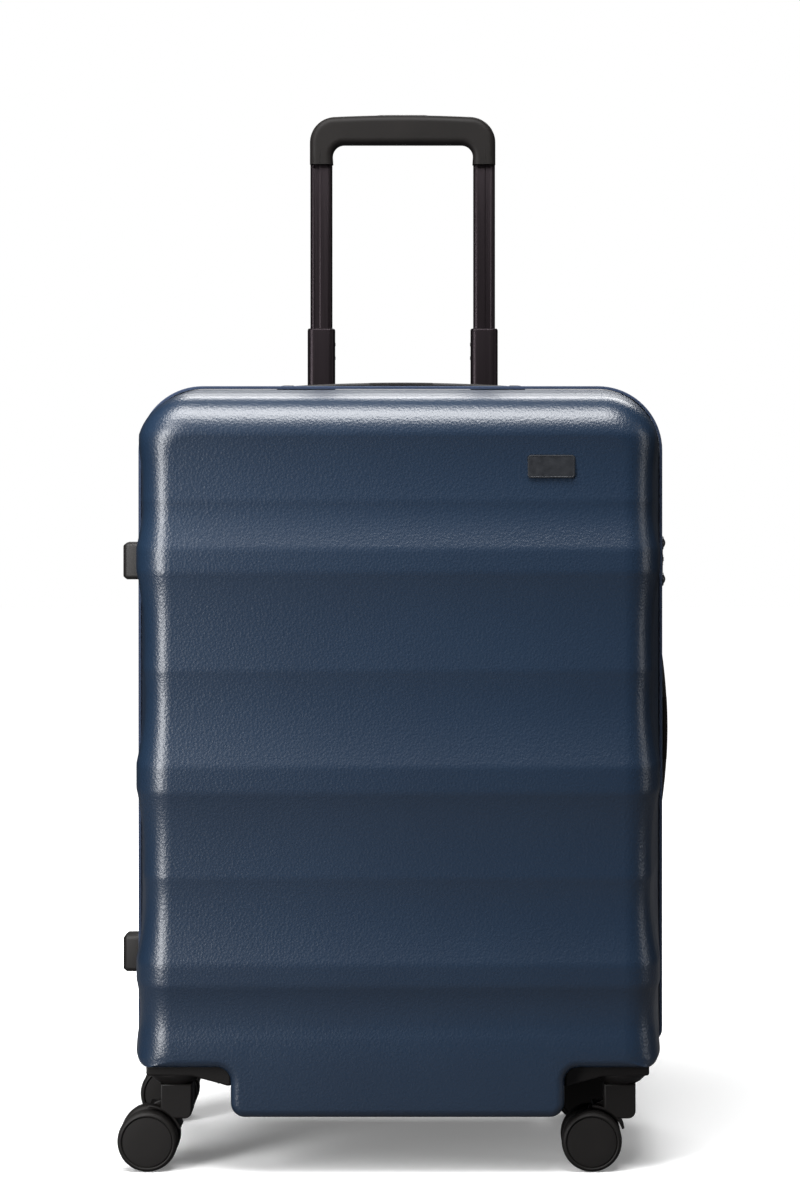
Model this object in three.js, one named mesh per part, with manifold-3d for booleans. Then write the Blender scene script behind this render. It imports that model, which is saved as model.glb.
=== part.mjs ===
// A hard-shell trolley case on four twin-wheel casters, with a two-stage pull handle.
// Millimetres, +Z up, origin on the floor under the middle of the case. The front faces -Y.
import * as THREE from "three";
import { mergeVertices } from "three/addons/utils/BufferGeometryUtils.js";
import Module from "manifold-3d";

const wasm = await Module();
wasm.setup();

// ---------- Driving dimensions ----------

const FIT = 0.3; // gap between faces that touch
const SLIDE = 0.4; // gap each side between tubes that slide

// Case shells
const CASE_WIDTH = 457; // across the rims, without the zip tape
const CASE_DEPTH = 270; // front face to rear face
const CASE_TOP = 666.5; // top of the rims
const BAY_ROOF = 92; // underside of the rims, and the roof of the caster bays
const SKIRT_BOTTOM = 50; // underside of the skirt between the casters
const SKIRT_INSET = 87.5; // from the rim's side to the skirt's
const SHELL_WALL = 2.5;
const SHELL_DRAFT = 6.5; // how far the walls lean in between the rim and the face
const TOP_CORNER_RADIUS = 54;
const BOTTOM_CORNER_RADIUS = 10;
const SIDE_FILLET = 30;
const TOP_FILLET = 33;
const BOTTOM_FILLET = 8;
const BAY_RADIUS = 12; // corners of the skirt, seen from the front
const RIM_GAP = 4; // from the parting plane to each rim
const SKIRT_START = 24; // the skirt begins to drop this far from the parting plane
const SKIRT_FULL = 50; // and has dropped fully here
const FACE_RIB_DEPTH = 5;
const SIDE_RIB_DEPTH = 6;
const RIB_FADE = 100; // side ribs grow from nothing at the rim to full depth here

// Ribs: shares of the height between the bay roof and the shoulder under the top fillet
const CREST_BANDS = [[0.82, 0.782], [0.476, 0.434], [0.164, 0.129]];
const CREASES = [0.896, 0.627, 0.299, 0.073];
const CREASE_INSETS = [0.75, 1, 1, 0.6]; // shares of the rib depth
const CREST_SLOPE = 0.026; // shares of the rib depth per millimetre, beside a crest band

// Zip
const TAPE_WIDTH = 11;
const TAPE_THICKNESS = 1.5;
const HINGE_TAPE_SPAN = 28;
const HINGE_TAPE_LENGTH = 400;
const HINGE_TAPE_THICKNESS = 1.2;
const SLIDER_LENGTH = 12;
const SLIDER_WIDTH = 10;
const SLIDER_HEIGHT = 4;
const PULL_WIDTH = 5;
const PULL_THICKNESS = 1.6;

// Lock, on the right wall of the rear shell
const LOCK_WIDTH = 48; // along the depth of the case
const LOCK_HEIGHT = 32;
const LOCK_BODY = 18.5; // from its face in through the wall
const LOCK_PROUD = 3;
const LOCK_START = 14; // from the parting plane
const DIAL_RADIUS = 7;
const DIAL_WIDTH = 5;
const DIAL_PITCH = 7.5;
const DIAL_COUNT = 3;
const DIAL_PROUD = 2.5;
const DIAL_END = 8; // from the last dial's middle to the end of the lock
const LOCK_BUTTON_SPACE = 11; // from the first dial to the button
const LOCK_BUTTON_WIDTH = 9;
const LOCK_BUTTON_HEIGHT = 16;
const LOCK_BUTTON_LENGTH = 8;
const LOCK_BUTTON_TRAVEL = 2;

// Carry handles
const TOP_HANDLE_LENGTH = 222;
const SIDE_HANDLE_LENGTH = 201;
const HANDLE_WIDTH = 26;
const HANDLE_THICKNESS = 4;
const HANDLE_CAP_LENGTH = 14;
const HANDLE_CAP_THICKNESS = 4.5;
const TOP_HANDLE_RISE = 3; // how far the strap's middle stands above its ends
const SIDE_HANDLE_RISE = 8;
const TOP_HANDLE_Y = 36;
const SIDE_HANDLE_Y = 60;
const SIDE_HANDLE_DROP = 17.25; // middle of the side handle below the middle of the rim

// Side feet, on the left wall of the rear shell
const FOOT_HEIGHT = 33;
const FOOT_WIDTH = 26;
const FOOT_PROUD = 20;
const FOOT_Y = 31;
const FOOT_CORNER = 4;

// Pull handle
const TUBE_SPACING = 149;
const TROLLEY_INSET = 40; // from the rear face to the tubes' centre line
const UPPER_TUBE = [20, 13];
const TUBE_WALL = 1.2;
const TUBE_BUSH = 0.9; // sliding bush between two tubes
const UPPER_LENGTH = 400;
const MIDDLE_LENGTH = 480;
const UPPER_SHOWN = 150; // upper tube standing out of the middle tube
const MIDDLE_SHOWN = 58; // middle tube standing out of the bezel
const GRIP_HEIGHT = 45;
const GRIP_BAR = 27;
const GRIP_DEPTH = 22;
const GRIP_CROWN = 1.5;
const GRIP_OUTER_RADIUS = 22;
const GRIP_INNER_RADIUS = 10;
const GRIP_ROUNDING = 5;
const GRIP_LEG_WIDTH = 20.6;
const PLUG_LENGTH = 20;
const BUTTON_LENGTH = 48;
const BUTTON_WIDTH = 11;
const BUTTON_DEPTH = 8;
const BUTTON_TRAVEL = 3;
const BUTTON_PROUD = 0.6;
const BEZEL_MARGIN = 14;
const BEZEL_THICKNESS = 3;
const COLLAR_DEPTH = 9;
const BRACKET_HEIGHT = 24;
const BRACKET_WALL = 2.4;

// Linings
const LINING_SIDE_GAP = 7.5; // from the deepest side rib to the lining
const LINING_TOP_GAP = 9;
const LINING_BOTTOM_GAP = 2.5;
const LINING_START = 6; // from the parting plane to the lining's edge
const LINING_WALL = 1.5;
const LINING_FILLET = 26;
const LINING_FACE_GAP = 13; // from the case's face to the front lining
const LINING_CORNER = 40;
const DIVIDER_DEPTH = 16; // front face of the divider, from the parting plane
const DIVIDER_THICKNESS = 2;
const STRAP_WIDTH = 38;
const STRAP_THICKNESS = 1.6;
const STRAP_DEPTH = 22;
const BUCKLE_SIZE = [44, 56, 9];

// Badge
const BADGE_SIZE = [40, 19.5];
const BADGE_THICKNESS = 1.2;
const BADGE_INSET = 98.5; // from the rim's side to the middle of the badge
const BADGE_BELOW_SHOULDER = 27;
const BADGE_CORNER = 3;

// Casters
const CASTER_SIDE_INSET = 39.5; // from the rim's side to the swivel axis
const CASTER_FACE_INSET = 40; // from the case's face to the swivel axis
const CASTER_TRAIL = 24;
const WHEEL_RADIUS = 26;
const WHEEL_WIDTH = 17;
const WHEEL_FACETS = 20;
const WEB_THICKNESS = 8;
const AXLE_RADIUS = 3;
const KINGPIN_RADIUS = 5;
const BOSS_RADIUS = 24;
const BOSS_FOOT_RADIUS = 16;
const HOUSING_DROP = 18; // bay roof to the underside of the boss
const HOUSING_PLATE = 9;
const FORK_WIDTH = 27;
const FORK_BOTTOM = 44;

// ---------- Sizes worked out from them ----------

const HALF_WIDTH = CASE_WIDTH / 2;
const HALF_DEPTH = CASE_DEPTH / 2;
const SIDE_MIDDLE = (CASE_TOP + BAY_ROOF) / 2;
const SHOULDER = CASE_TOP - SHELL_DRAFT - TOP_FILLET;
const ribHeight = (share) => BAY_ROOF + share * (SHOULDER - BAY_ROOF);
const SKIRT_HALF_WIDTH = HALF_WIDTH - SKIRT_INSET;
const CASTER_X = HALF_WIDTH - CASTER_SIDE_INSET;
const CASTER_Y = HALF_DEPTH - CASTER_FACE_INSET;
const TROLLEY_Y = HALF_DEPTH - TROLLEY_INSET;
const TUBE_GROWTH = 2 * (TUBE_WALL + SLIDE + TUBE_BUSH);
const MIDDLE_TUBE = UPPER_TUBE.map((size) => size + TUBE_GROWTH);
const OUTER_TUBE = MIDDLE_TUBE.map((size) => size + TUBE_GROWTH);
const draftAt = (depth) => (SHELL_DRAFT * depth) / HALF_DEPTH;
const TAPE_OUTSIDE = HALF_WIDTH + FIT + TAPE_THICKNESS;
const WHEEL_CENTRE = WHEEL_RADIUS * Math.cos(Math.PI / WHEEL_FACETS);

// ---------- Materials ----------

const plastic = (color, roughness) => new THREE.MeshStandardMaterial({ color, roughness, metalness: 0 });
const metal = (color, roughness) => new THREE.MeshStandardMaterial({ color, roughness, metalness: 0.9 });
const navyShell = plastic(0x263950, 0.45);
const blackPlastic = plastic(0x1c1a19, 0.5);
const gripRubber = plastic(0x201e1d, 0.6);
const tubeMetal = metal(0x2a2327, 0.4);
const pinSteel = metal(0x9a9a9a, 0.35);
const tyreRubber = plastic(0x24221f, 0.7);
const navyTape = plastic(0x1c2a40, 0.9);
const liningCloth = plastic(0x3a3f48, 0.95);
const darkMetal = metal(0x33363a, 0.4);

// ---------- Helpers ----------

// A closed geometry as a solid that can be joined and cut.
function solid(geometry) {
  const bare = geometry.clone();
  bare.deleteAttribute("normal");
  bare.deleteAttribute("uv");
  const merged = mergeVertices(bare, 1e-3);
  return new wasm.Manifold(new wasm.Mesh({
    numProp: 3,
    vertProperties: merged.attributes.position.array,
    triVerts: new Uint32Array(merged.index.array),
  }));
}

function fromSolid(made) {
  const mesh = made.getMesh();
  const geometry = new THREE.BufferGeometry();
  geometry.setAttribute("position", new THREE.BufferAttribute(mesh.vertProperties, 3));
  geometry.setIndex(new THREE.BufferAttribute(mesh.triVerts, 1));
  return geometry;
}

const cut = (body, ...tools) =>
  fromSolid(tools.reduce((left, tool) => left.subtract(solid(tool)), solid(body)));
const join = (body, ...others) =>
  fromSolid(others.reduce((whole, other) => whole.add(solid(other)), solid(body)));

const box = (width, depth, height, x = 0, y = 0, z = 0) =>
  new THREE.BoxGeometry(width, depth, height).translate(x, y, z);

// A box from its two corners.
const span = (x0, x1, y0, y1, z0, z1) =>
  box(x1 - x0, y1 - y0, z1 - z0, (x0 + x1) / 2, (y0 + y1) / 2, (z0 + z1) / 2);

function roundedRect(width, height, radius) {
  const shape = new THREE.Shape();
  const [w, h] = [width / 2 - radius, height / 2 - radius];
  shape.absarc(w, h, radius, 0, Math.PI / 2);
  shape.absarc(-w, h, radius, Math.PI / 2, Math.PI);
  shape.absarc(-w, -h, radius, Math.PI, 1.5 * Math.PI);
  shape.absarc(w, -h, radius, 1.5 * Math.PI, 2 * Math.PI);
  return shape;
}

// A shape drawn across and up, made into a slab that runs along Y from y0 to y1.
function slabAlongY(shape, y0, y1, curveSegments = 4) {
  const slab = new THREE.ExtrudeGeometry(shape, { depth: y1 - y0, bevelEnabled: false, curveSegments });
  return slab.rotateX(Math.PI / 2).translate(0, y1, 0);
}

// A shape drawn along Y and up, made into a slab that runs along X from x0 to x1.
function slabAlongX(shape, x0, x1, curveSegments = 4) {
  const slab = new THREE.ExtrudeGeometry(shape, { depth: x1 - x0, bevelEnabled: false, curveSegments });
  return slab.rotateX(Math.PI / 2).rotateZ(Math.PI / 2).translate(x0, 0, 0);
}

// A shape drawn in the floor plane, made into a slab from z0 to z1.
const slabUp = (shape, z0, z1, curveSegments = 3) =>
  new THREE.ExtrudeGeometry(shape, { depth: z1 - z0, bevelEnabled: false, curveSegments })
    .translate(0, 0, z0);

// A rod along Y, Z or X, with its middle at the place given.
const rodY = (radius, length, facets, x, y, z) =>
  new THREE.CylinderGeometry(radius, radius, length, facets).translate(x, y, z);
const rodZ = (radius, length, facets, x, y, z) =>
  new THREE.CylinderGeometry(radius, radius, length, facets).rotateX(Math.PI / 2).translate(x, y, z);

function part(name, geometry, material) {
  const mesh = new THREE.Mesh(geometry, material);
  mesh.name = name;
  return mesh;
}

// ---------- Case shells ----------

// Knots of the rib profile from the top down: height, inset, and slope before and after it.
function ribKnots() {
  const knots = [{ z: CASE_TOP, inset: 0, before: 0, after: 0 }];
  knots.push({ z: SHOULDER, inset: 0, before: 0, after: CREST_SLOPE });
  CREASES.forEach((share, i) => {
    knots.push({ z: ribHeight(share), inset: CREASE_INSETS[i], before: 0, after: 0 });
    if (i < CREST_BANDS.length) {
      const [upper, lower] = CREST_BANDS[i];
      knots.push({ z: ribHeight(upper), inset: 0, before: -CREST_SLOPE, after: -CREST_SLOPE });
      knots.push({ z: ribHeight(lower), inset: 0, before: CREST_SLOPE, after: CREST_SLOPE });
    }
  });
  knots.push({ z: BAY_ROOF + BOTTOM_FILLET + 4, inset: 0, before: 0, after: 0 });
  return knots;
}
const RIB_KNOTS = ribKnots();

// Share of the rib depth by which the skin stands in at a height: a cubic between each two knots.
function ribInset(z) {
  const next = RIB_KNOTS.findIndex((knot) => z > knot.z - 1e-6);
  if (next < 1) return 0;
  const [a, b] = [RIB_KNOTS[next - 1], RIB_KNOTS[next]];
  const drop = a.z - b.z;
  const t = (a.z - z) / drop;
  const start = (2 * t ** 3 - 3 * t ** 2 + 1) * a.inset + (t ** 3 - 2 * t ** 2 + t) * a.after * drop;
  return start + (3 * t ** 2 - 2 * t ** 3) * b.inset + (t ** 3 - t ** 2) * b.before * drop;
}

const sideFade = (depth) => THREE.MathUtils.smoothstep(depth, 0, RIB_FADE);

// Distance from the middle of the case to its side wall, at a depth and a height.
const sideWall = (depth, z) => HALF_WIDTH - draftAt(depth) - SIDE_RIB_DEPTH * ribInset(z) * sideFade(depth);

// Steps of the outline, in the half from the middle of the top to the middle of the bottom.
const TOP_STEPS = 6;
const CORNER_STEPS = 2; // on each side of a top corner's middle
const BOTTOM_STEPS = 1; // on each side of a bottom corner's middle
const BAY_STEPS = 2;
const LEVELS = RIB_KNOTS.slice(2, -1).map((knot) => knot.z);
const TOP_MIDDLE = TOP_STEPS + CORNER_STEPS;
const ROWS = CORNER_STEPS + LEVELS.length + 1 + BOTTOM_STEPS;
const HALF_LOOP = 2 * TOP_MIDDLE + ROWS;

// Half an outline: points with x, z, the same point with no bay cut (flatX), and the wall's fillet.
function halfOutline({ half, top, corner, roof, foot, bottomCorner, skirt, bayInner, bayOuter }) {
  const points = [];
  const add = (x, z, fillet) => points.push({ x: -x, z, fillet });
  const arc = (cx, cz, radius, from, to, steps, filletFrom, filletTo) => {
    for (let i = 1; i <= steps; i += 1) {
      const share = i / steps;
      const angle = THREE.MathUtils.lerp(from, to, share);
      const fillet = THREE.MathUtils.lerp(filletFrom, filletTo, share);
      add(cx + radius * Math.cos(angle), cz + radius * Math.sin(angle), fillet);
    }
  };
  const quarter = Math.PI / 2;
  const flatEnd = half - corner;
  const edge = Math.min(flatEnd - 30, skirt - bayOuter);
  for (let i = 0; i <= TOP_STEPS; i += 1) {
    add(i ? THREE.MathUtils.lerp(edge, flatEnd, (i - 1) / (TOP_STEPS - 1)) : 0, top, TOP_FILLET);
  }
  arc(flatEnd, top - corner, corner, quarter, 0, 2 * CORNER_STEPS, TOP_FILLET, SIDE_FILLET);
  LEVELS.forEach((z) => add(half, z, SIDE_FILLET));
  add(half, roof + bottomCorner, SIDE_FILLET);
  const turn = half - bottomCorner;
  arc(turn, roof + bottomCorner, bottomCorner, 0, -quarter, 2 * BOTTOM_STEPS, SIDE_FILLET, BOTTOM_FILLET);
  add(skirt + bayInner, roof, BOTTOM_FILLET);
  const bayCentre = [skirt + bayInner, roof - bayInner];
  arc(...bayCentre, bayInner, quarter, 2 * quarter, BAY_STEPS, BOTTOM_FILLET, BOTTOM_FILLET);
  add(skirt, foot + bayOuter, BOTTOM_FILLET);
  const skirtCentre = [skirt - bayOuter, foot + bayOuter];
  arc(...skirtCentre, bayOuter, 0, -quarter, BAY_STEPS, BOTTOM_FILLET, BOTTOM_FILLET);
  add(0, foot, BOTTOM_FILLET);
  points.forEach((point) => {
    const drop = Math.max(0, (roof - point.z) / (roof - foot));
    point.flatX = point.x * (1 - 0.08 * drop);
    point.flatZ = Math.max(point.z, roof);
  });
  return points;
}

// The whole loop, left half first, from the middle of the top and back to it.
function wholeLoop(half) {
  const mirror = (point) => ({ ...point, x: -point.x, flatX: -point.flatX });
  return [...half, ...half.slice(1, -1).reverse().map(mirror)];
}

// The wall's outline at a depth, with the corner radii that keep the wall even.
const wallOutline = (depth) => wholeLoop(halfOutline({
  half: HALF_WIDTH - draftAt(depth),
  top: CASE_TOP - draftAt(depth),
  corner: TOP_CORNER_RADIUS - draftAt(depth),
  roof: BAY_ROOF,
  foot: SKIRT_BOTTOM,
  bottomCorner: BOTTOM_CORNER_RADIUS,
  skirt: SKIRT_HALF_WIDTH,
  bayInner: BAY_RADIUS,
  bayOuter: BAY_RADIUS,
}));

// The outline of the face, where the fillets end.
const faceOutline = () => wholeLoop(halfOutline({
  half: HALF_WIDTH - SHELL_DRAFT - SIDE_FILLET,
  top: SHOULDER,
  corner: TOP_CORNER_RADIUS - SHELL_DRAFT - SIDE_FILLET,
  roof: BAY_ROOF + BOTTOM_FILLET,
  foot: SKIRT_BOTTOM + BOTTOM_FILLET,
  bottomCorner: BOTTOM_CORNER_RADIUS / 2,
  skirt: SKIRT_HALF_WIDTH - BOTTOM_FILLET,
  bayInner: BAY_RADIUS + BOTTOM_FILLET,
  bayOuter: BAY_RADIUS - BOTTOM_FILLET,
}));

// One ring of skin: the outline points moved in by the ribs, at the depth of each point.
function skinRing(outline, depthOf, facing) {
  return outline.map((point) => {
    const depth = depthOf(point);
    const inset = ribInset(point.z);
    const across = SIDE_RIB_DEPTH * inset * sideFade(depth) * Math.cos(facing) * point.sideways;
    return new THREE.Vector3(
      point.x - Math.sign(point.x) * across,
      depth - FACE_RIB_DEPTH * inset * Math.sin(facing),
      point.z,
    );
  });
}

// How far each outline point faces sideways: 1 on the side walls, 0 on the top and the bottom.
function markSideways(loop) {
  const last = loop.length;
  loop.forEach((point, i) => {
    const [a, b] = [loop[(i + last - 1) % last], loop[(i + 1) % last]];
    point.sideways = Math.abs(b.z - a.z) / Math.hypot(b.x - a.x, b.z - a.z);
  });
  return loop;
}

// The skin of a half shell from its rim to its face: rings of points, then the rows of the face.
function shellSkin() {
  const end = markSideways(wallOutline(HALF_DEPTH));
  const face = markSideways(faceOutline());
  const rings = [];
  const wallRing = (depth, dropped) => {
    const outline = markSideways(wallOutline(depth)).map((point) => ({
      ...point,
      x: THREE.MathUtils.lerp(point.flatX, point.x, dropped),
      z: THREE.MathUtils.lerp(point.flatZ, point.z, dropped),
    }));
    rings.push(skinRing(outline, () => depth, 0));
  };
  wallRing(RIM_GAP, 0);
  wallRing(SKIRT_START, 0);
  wallRing((SKIRT_START + SKIRT_FULL) / 2, 0.5);
  wallRing(SKIRT_FULL, 1);
  const filletSteps = 3;
  for (let i = 0; i <= filletSteps; i += 1) {
    const facing = (i / filletSteps) * (Math.PI / 2);
    const blended = end.map((point, k) => ({
      ...point,
      x: THREE.MathUtils.lerp(point.x, face[k].x, 1 - Math.cos(facing)),
      z: THREE.MathUtils.lerp(point.z, face[k].z, 1 - Math.cos(facing)),
    }));
    rings.push(skinRing(blended, (point) => HALF_DEPTH - point.fillet * (1 - Math.sin(facing)), facing));
  }
  return { rings, columns: face.slice(TOP_MIDDLE + ROWS, TOP_MIDDLE + ROWS + 2 * TOP_MIDDLE + 1) };
}

// The skin's points and triangles. The face's edge points are those of the last ring.
function skinMesh() {
  const { rings, columns } = shellSkin();
  const loop = rings[0].length;
  const points = rings.flat();
  const triangles = [];
  const quad = (a, b, c, d) => triangles.push(a, c, b, a, d, c);
  for (let r = 0; r + 1 < rings.length; r += 1) {
    for (let k = 0; k < loop; k += 1) {
      const next = (k + 1) % loop;
      quad(r * loop + k, r * loop + next, (r + 1) * loop + next, (r + 1) * loop + k);
    }
  }
  const edge = (rings.length - 1) * loop;
  const wide = 2 * TOP_MIDDLE;
  const heights = rings[rings.length - 1].slice(TOP_MIDDLE, TOP_MIDDLE + ROWS + 1).map((point) => point.z);
  const grid = [];
  for (let j = 0; j <= ROWS; j += 1) {
    grid.push([]);
    for (let i = 0; i <= wide; i += 1) {
      if (j === 0) grid[j].push(edge + ((TOP_MIDDLE - i + loop) % loop));
      else if (i === 0) grid[j].push(edge + TOP_MIDDLE + j);
      else if (i === wide) grid[j].push(edge + loop - TOP_MIDDLE - j);
      else if (j === ROWS) grid[j].push(edge + TOP_MIDDLE + ROWS + i);
      else {
        grid[j].push(points.length);
        const z = heights[j];
        points.push(new THREE.Vector3(columns[i].flatX, HALF_DEPTH - FACE_RIB_DEPTH * ribInset(z), z));
      }
    }
  }
  for (let j = 0; j < ROWS; j += 1) {
    for (let i = 0; i < wide; i += 1) quad(grid[j][i], grid[j + 1][i], grid[j + 1][i + 1], grid[j][i + 1]);
  }
  return { points, triangles, loop };
}

// A half shell with its rim at RIM_GAP from the parting plane; side is -1 at the front and 1 at the rear.
function shellGeometry(side) {
  const { points, triangles, loop } = skinMesh();
  const outer = new THREE.BufferGeometry().setFromPoints(points);
  outer.setIndex(triangles);
  outer.computeVertexNormals();
  const normals = outer.attributes.normal;
  const inner = points.map((point, i) => {
    const normal = new THREE.Vector3().fromBufferAttribute(normals, i);
    const moved = point.clone().addScaledVector(normal, -SHELL_WALL);
    if (i < loop) moved.y = RIM_GAP;
    return moved;
  });
  const count = points.length;
  const all = [...triangles];
  for (let i = 0; i < triangles.length; i += 3) {
    all.push(triangles[i] + count, triangles[i + 2] + count, triangles[i + 1] + count);
  }
  for (let k = 0; k < loop; k += 1) {
    const next = (k + 1) % loop;
    all.push(k, next + count, k + count, k, next, next + count);
  }
  const shell = new THREE.BufferGeometry().setFromPoints([...points, ...inner]);
  shell.setIndex(all);
  if (side > 0) return shell;
  const indices = shell.index.array;
  for (let i = 0; i < indices.length; i += 3) {
    [indices[i + 1], indices[i + 2]] = [indices[i + 2], indices[i + 1]];
  }
  return shell.scale(1, -1, 1);
}

// ---------- Openings in the shells ----------

const LOCK_FACE = TAPE_OUTSIDE + LOCK_PROUD;
const LOCK_DROP = 6; // middle of the lock below the middle of the top crest band
const LOCK_CENTRE = ribHeight((CREST_BANDS[0][0] + CREST_BANDS[0][1]) / 2) - LOCK_DROP;
const lockSpan = (gap) => span(
  LOCK_FACE - LOCK_BODY - gap, LOCK_FACE + gap,
  LOCK_START - gap, LOCK_START + LOCK_WIDTH + gap,
  LOCK_CENTRE - LOCK_HEIGHT / 2 - gap, LOCK_CENTRE + LOCK_HEIGHT / 2 + gap,
);
const BADGE_X = HALF_WIDTH - BADGE_INSET;
const BADGE_Z = SHOULDER - BADGE_BELOW_SHOULDER;
const BADGE_PROUD = 0.2; // in front of the face
const BADGE_FACE = -(HALF_DEPTH - FACE_RIB_DEPTH * ribInset(BADGE_Z));
const BEZEL_UNDER = CASE_TOP - draftAt(TROLLEY_Y - OUTER_TUBE[1] / 2 - BEZEL_MARGIN / 2) + FIT;
const OUTER_TOP = BEZEL_UNDER - COLLAR_DEPTH - FIT;
const TUBE_XS = { left: -TUBE_SPACING / 2, right: TUBE_SPACING / 2 };

function frontShell() {
  const pocket = roundedRect(BADGE_SIZE[0] + 2 * FIT, BADGE_SIZE[1] + 2 * FIT, BADGE_CORNER);
  const cutter = slabAlongY(pocket, BADGE_FACE - 4, BADGE_FACE + BADGE_THICKNESS + FIT);
  return cut(shellGeometry(-1), cutter.translate(BADGE_X, 0, BADGE_Z));
}

function rearShell() {
  const collar = OUTER_TUBE.map((size) => size + 1 + 2 * FIT);
  const holes = Object.values(TUBE_XS).map((x) =>
    box(collar[0], collar[1], 40, x, TROLLEY_Y, BEZEL_UNDER - 15));
  return cut(shellGeometry(1), ...holes, lockSpan(FIT));
}

const badge = () => slabAlongY(
  roundedRect(BADGE_SIZE[0], BADGE_SIZE[1], BADGE_CORNER - FIT),
  BADGE_FACE - BADGE_PROUD, BADGE_FACE - BADGE_PROUD + BADGE_THICKNESS,
).translate(BADGE_X, 0, BADGE_Z);

// ---------- Zip, hinge tape and lock ----------

// The rim's outline grown by a distance, as a closed shape; its corners step as the shell's do.
function rimShape(grown) {
  const [half, top, roof] = [HALF_WIDTH + grown, CASE_TOP + grown, BAY_ROOF - grown];
  const [upper, lower] = [TOP_CORNER_RADIUS + grown, BOTTOM_CORNER_RADIUS + grown];
  const corner = (cx, cz, radius, from, steps) => Array.from({ length: steps + 1 }, (_, i) => {
    const angle = from + (i / steps) * (Math.PI / 2);
    return new THREE.Vector2(cx + radius * Math.cos(angle), cz + radius * Math.sin(angle));
  });
  return [
    ...corner(half - upper, top - upper, upper, 0, 2 * CORNER_STEPS),
    ...corner(upper - half, top - upper, upper, Math.PI / 2, 2 * CORNER_STEPS),
    ...corner(lower - half, roof + lower, lower, Math.PI, 2 * BOTTOM_STEPS),
    ...corner(half - lower, roof + lower, lower, 1.5 * Math.PI, 2 * BOTTOM_STEPS),
  ];
}

function zipTape(side) {
  const shape = new THREE.Shape(rimShape(FIT + TAPE_THICKNESS));
  shape.holes.push(new THREE.Path(rimShape(FIT)));
  return side < 0 ? slabAlongY(shape, -TAPE_WIDTH, -FIT) : slabAlongY(shape, FIT, TAPE_WIDTH);
}

// The hinge tape lies inside the deepest rib that it passes.
const HINGE_WALL = HALF_WIDTH - draftAt(SKIRT_START) - SIDE_RIB_DEPTH * sideFade(SKIRT_START);
const HINGE_TAPE_X = FIT + SHELL_WALL - HINGE_WALL;
const hingeTape = () => span(
  HINGE_TAPE_X, HINGE_TAPE_X + HINGE_TAPE_THICKNESS, -HINGE_TAPE_SPAN / 2, HINGE_TAPE_SPAN / 2,
  SIDE_MIDDLE - HINGE_TAPE_LENGTH / 2, SIDE_MIDDLE + HINGE_TAPE_LENGTH / 2,
);

// A slider runs on the teeth, and its pull lies over towards the lock. rise is 1 above the lock, -1 below it.
function zipSlider(rise) {
  const middle = LOCK_CENTRE + rise * (LOCK_HEIGHT / 2);
  const x = TAPE_OUTSIDE + FIT;
  const body = slabAlongX(roundedRect(SLIDER_WIDTH, SLIDER_LENGTH, 2.5), x, x + SLIDER_HEIGHT, 2);
  const pull = span(x + 1, x + 1 + PULL_THICKNESS, 3, LOCK_START - FIT, -PULL_WIDTH / 2, PULL_WIDTH / 2);
  return join(body, pull).translate(0, 0, middle);
}

const DIAL_X = LOCK_FACE + DIAL_PROUD - DIAL_RADIUS;
const dialY = (i) => LOCK_START + LOCK_WIDTH - DIAL_END - (DIAL_COUNT - 1 - i) * DIAL_PITCH;
const LOCK_BUTTON_Y = dialY(0) - LOCK_BUTTON_SPACE;

function lockCase() {
  const slots = Array.from({ length: DIAL_COUNT }, (_, i) =>
    rodY(DIAL_RADIUS + FIT, DIAL_WIDTH + 2 * FIT, 16, DIAL_X, dialY(i), LOCK_CENTRE));
  const button = span(
    LOCK_FACE - LOCK_BUTTON_LENGTH - LOCK_BUTTON_TRAVEL, LOCK_FACE + 1,
    LOCK_BUTTON_Y - LOCK_BUTTON_WIDTH / 2 - FIT, LOCK_BUTTON_Y + LOCK_BUTTON_WIDTH / 2 + FIT,
    LOCK_CENTRE - LOCK_BUTTON_HEIGHT / 2 - FIT, LOCK_CENTRE + LOCK_BUTTON_HEIGHT / 2 + FIT,
  );
  return cut(lockSpan(0), ...slots, button);
}

const lockButton = () => slabAlongX(
  roundedRect(LOCK_BUTTON_WIDTH, LOCK_BUTTON_HEIGHT, 2), LOCK_FACE + 1 - LOCK_BUTTON_LENGTH, LOCK_FACE + 1, 2,
).translate(0, LOCK_BUTTON_Y, LOCK_CENTRE);

// ---------- Carry handles ----------

// A strap that bows up in the middle, lying along X with its ends on z = 0.
function handleStrap(length, rise) {
  const half = length / 2 - HANDLE_CAP_LENGTH - FIT;
  const shape = new THREE.Shape();
  shape.moveTo(-half, 0);
  shape.quadraticCurveTo(0, 2 * rise, half, 0);
  shape.lineTo(half, HANDLE_THICKNESS);
  shape.quadraticCurveTo(0, 2 * rise + HANDLE_THICKNESS, -half, HANDLE_THICKNESS);
  shape.closePath();
  return slabAlongY(shape, -HANDLE_WIDTH / 2, HANDLE_WIDTH / 2, 10);
}

// The cap over one end of a strap; end is -1 or 1.
function handleCap(length, end) {
  const shape = new THREE.Shape();
  const [inner, outer] = [length / 2 - HANDLE_CAP_LENGTH, length / 2];
  shape.moveTo(inner, 0);
  shape.lineTo(outer, 0);
  shape.lineTo(outer, HANDLE_CAP_THICKNESS / 3);
  shape.quadraticCurveTo(outer - 1, HANDLE_CAP_THICKNESS, outer - 6, HANDLE_CAP_THICKNESS);
  shape.lineTo(inner, HANDLE_CAP_THICKNESS);
  shape.closePath();
  const width = HANDLE_WIDTH + 4;
  const cap = slabAlongY(shape, -width / 2, width / 2, 3);
  return end > 0 ? cap : cap.rotateZ(Math.PI);
}

// Groups that stand on the top of the case, and on its right wall with their Z pointing outwards.
function topHandleGroup() {
  const group = new THREE.Group();
  group.position.set(0, TOP_HANDLE_Y, CASE_TOP - draftAt(TOP_HANDLE_Y - HANDLE_WIDTH / 2 - 2) + FIT);
  return group;
}

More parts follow.
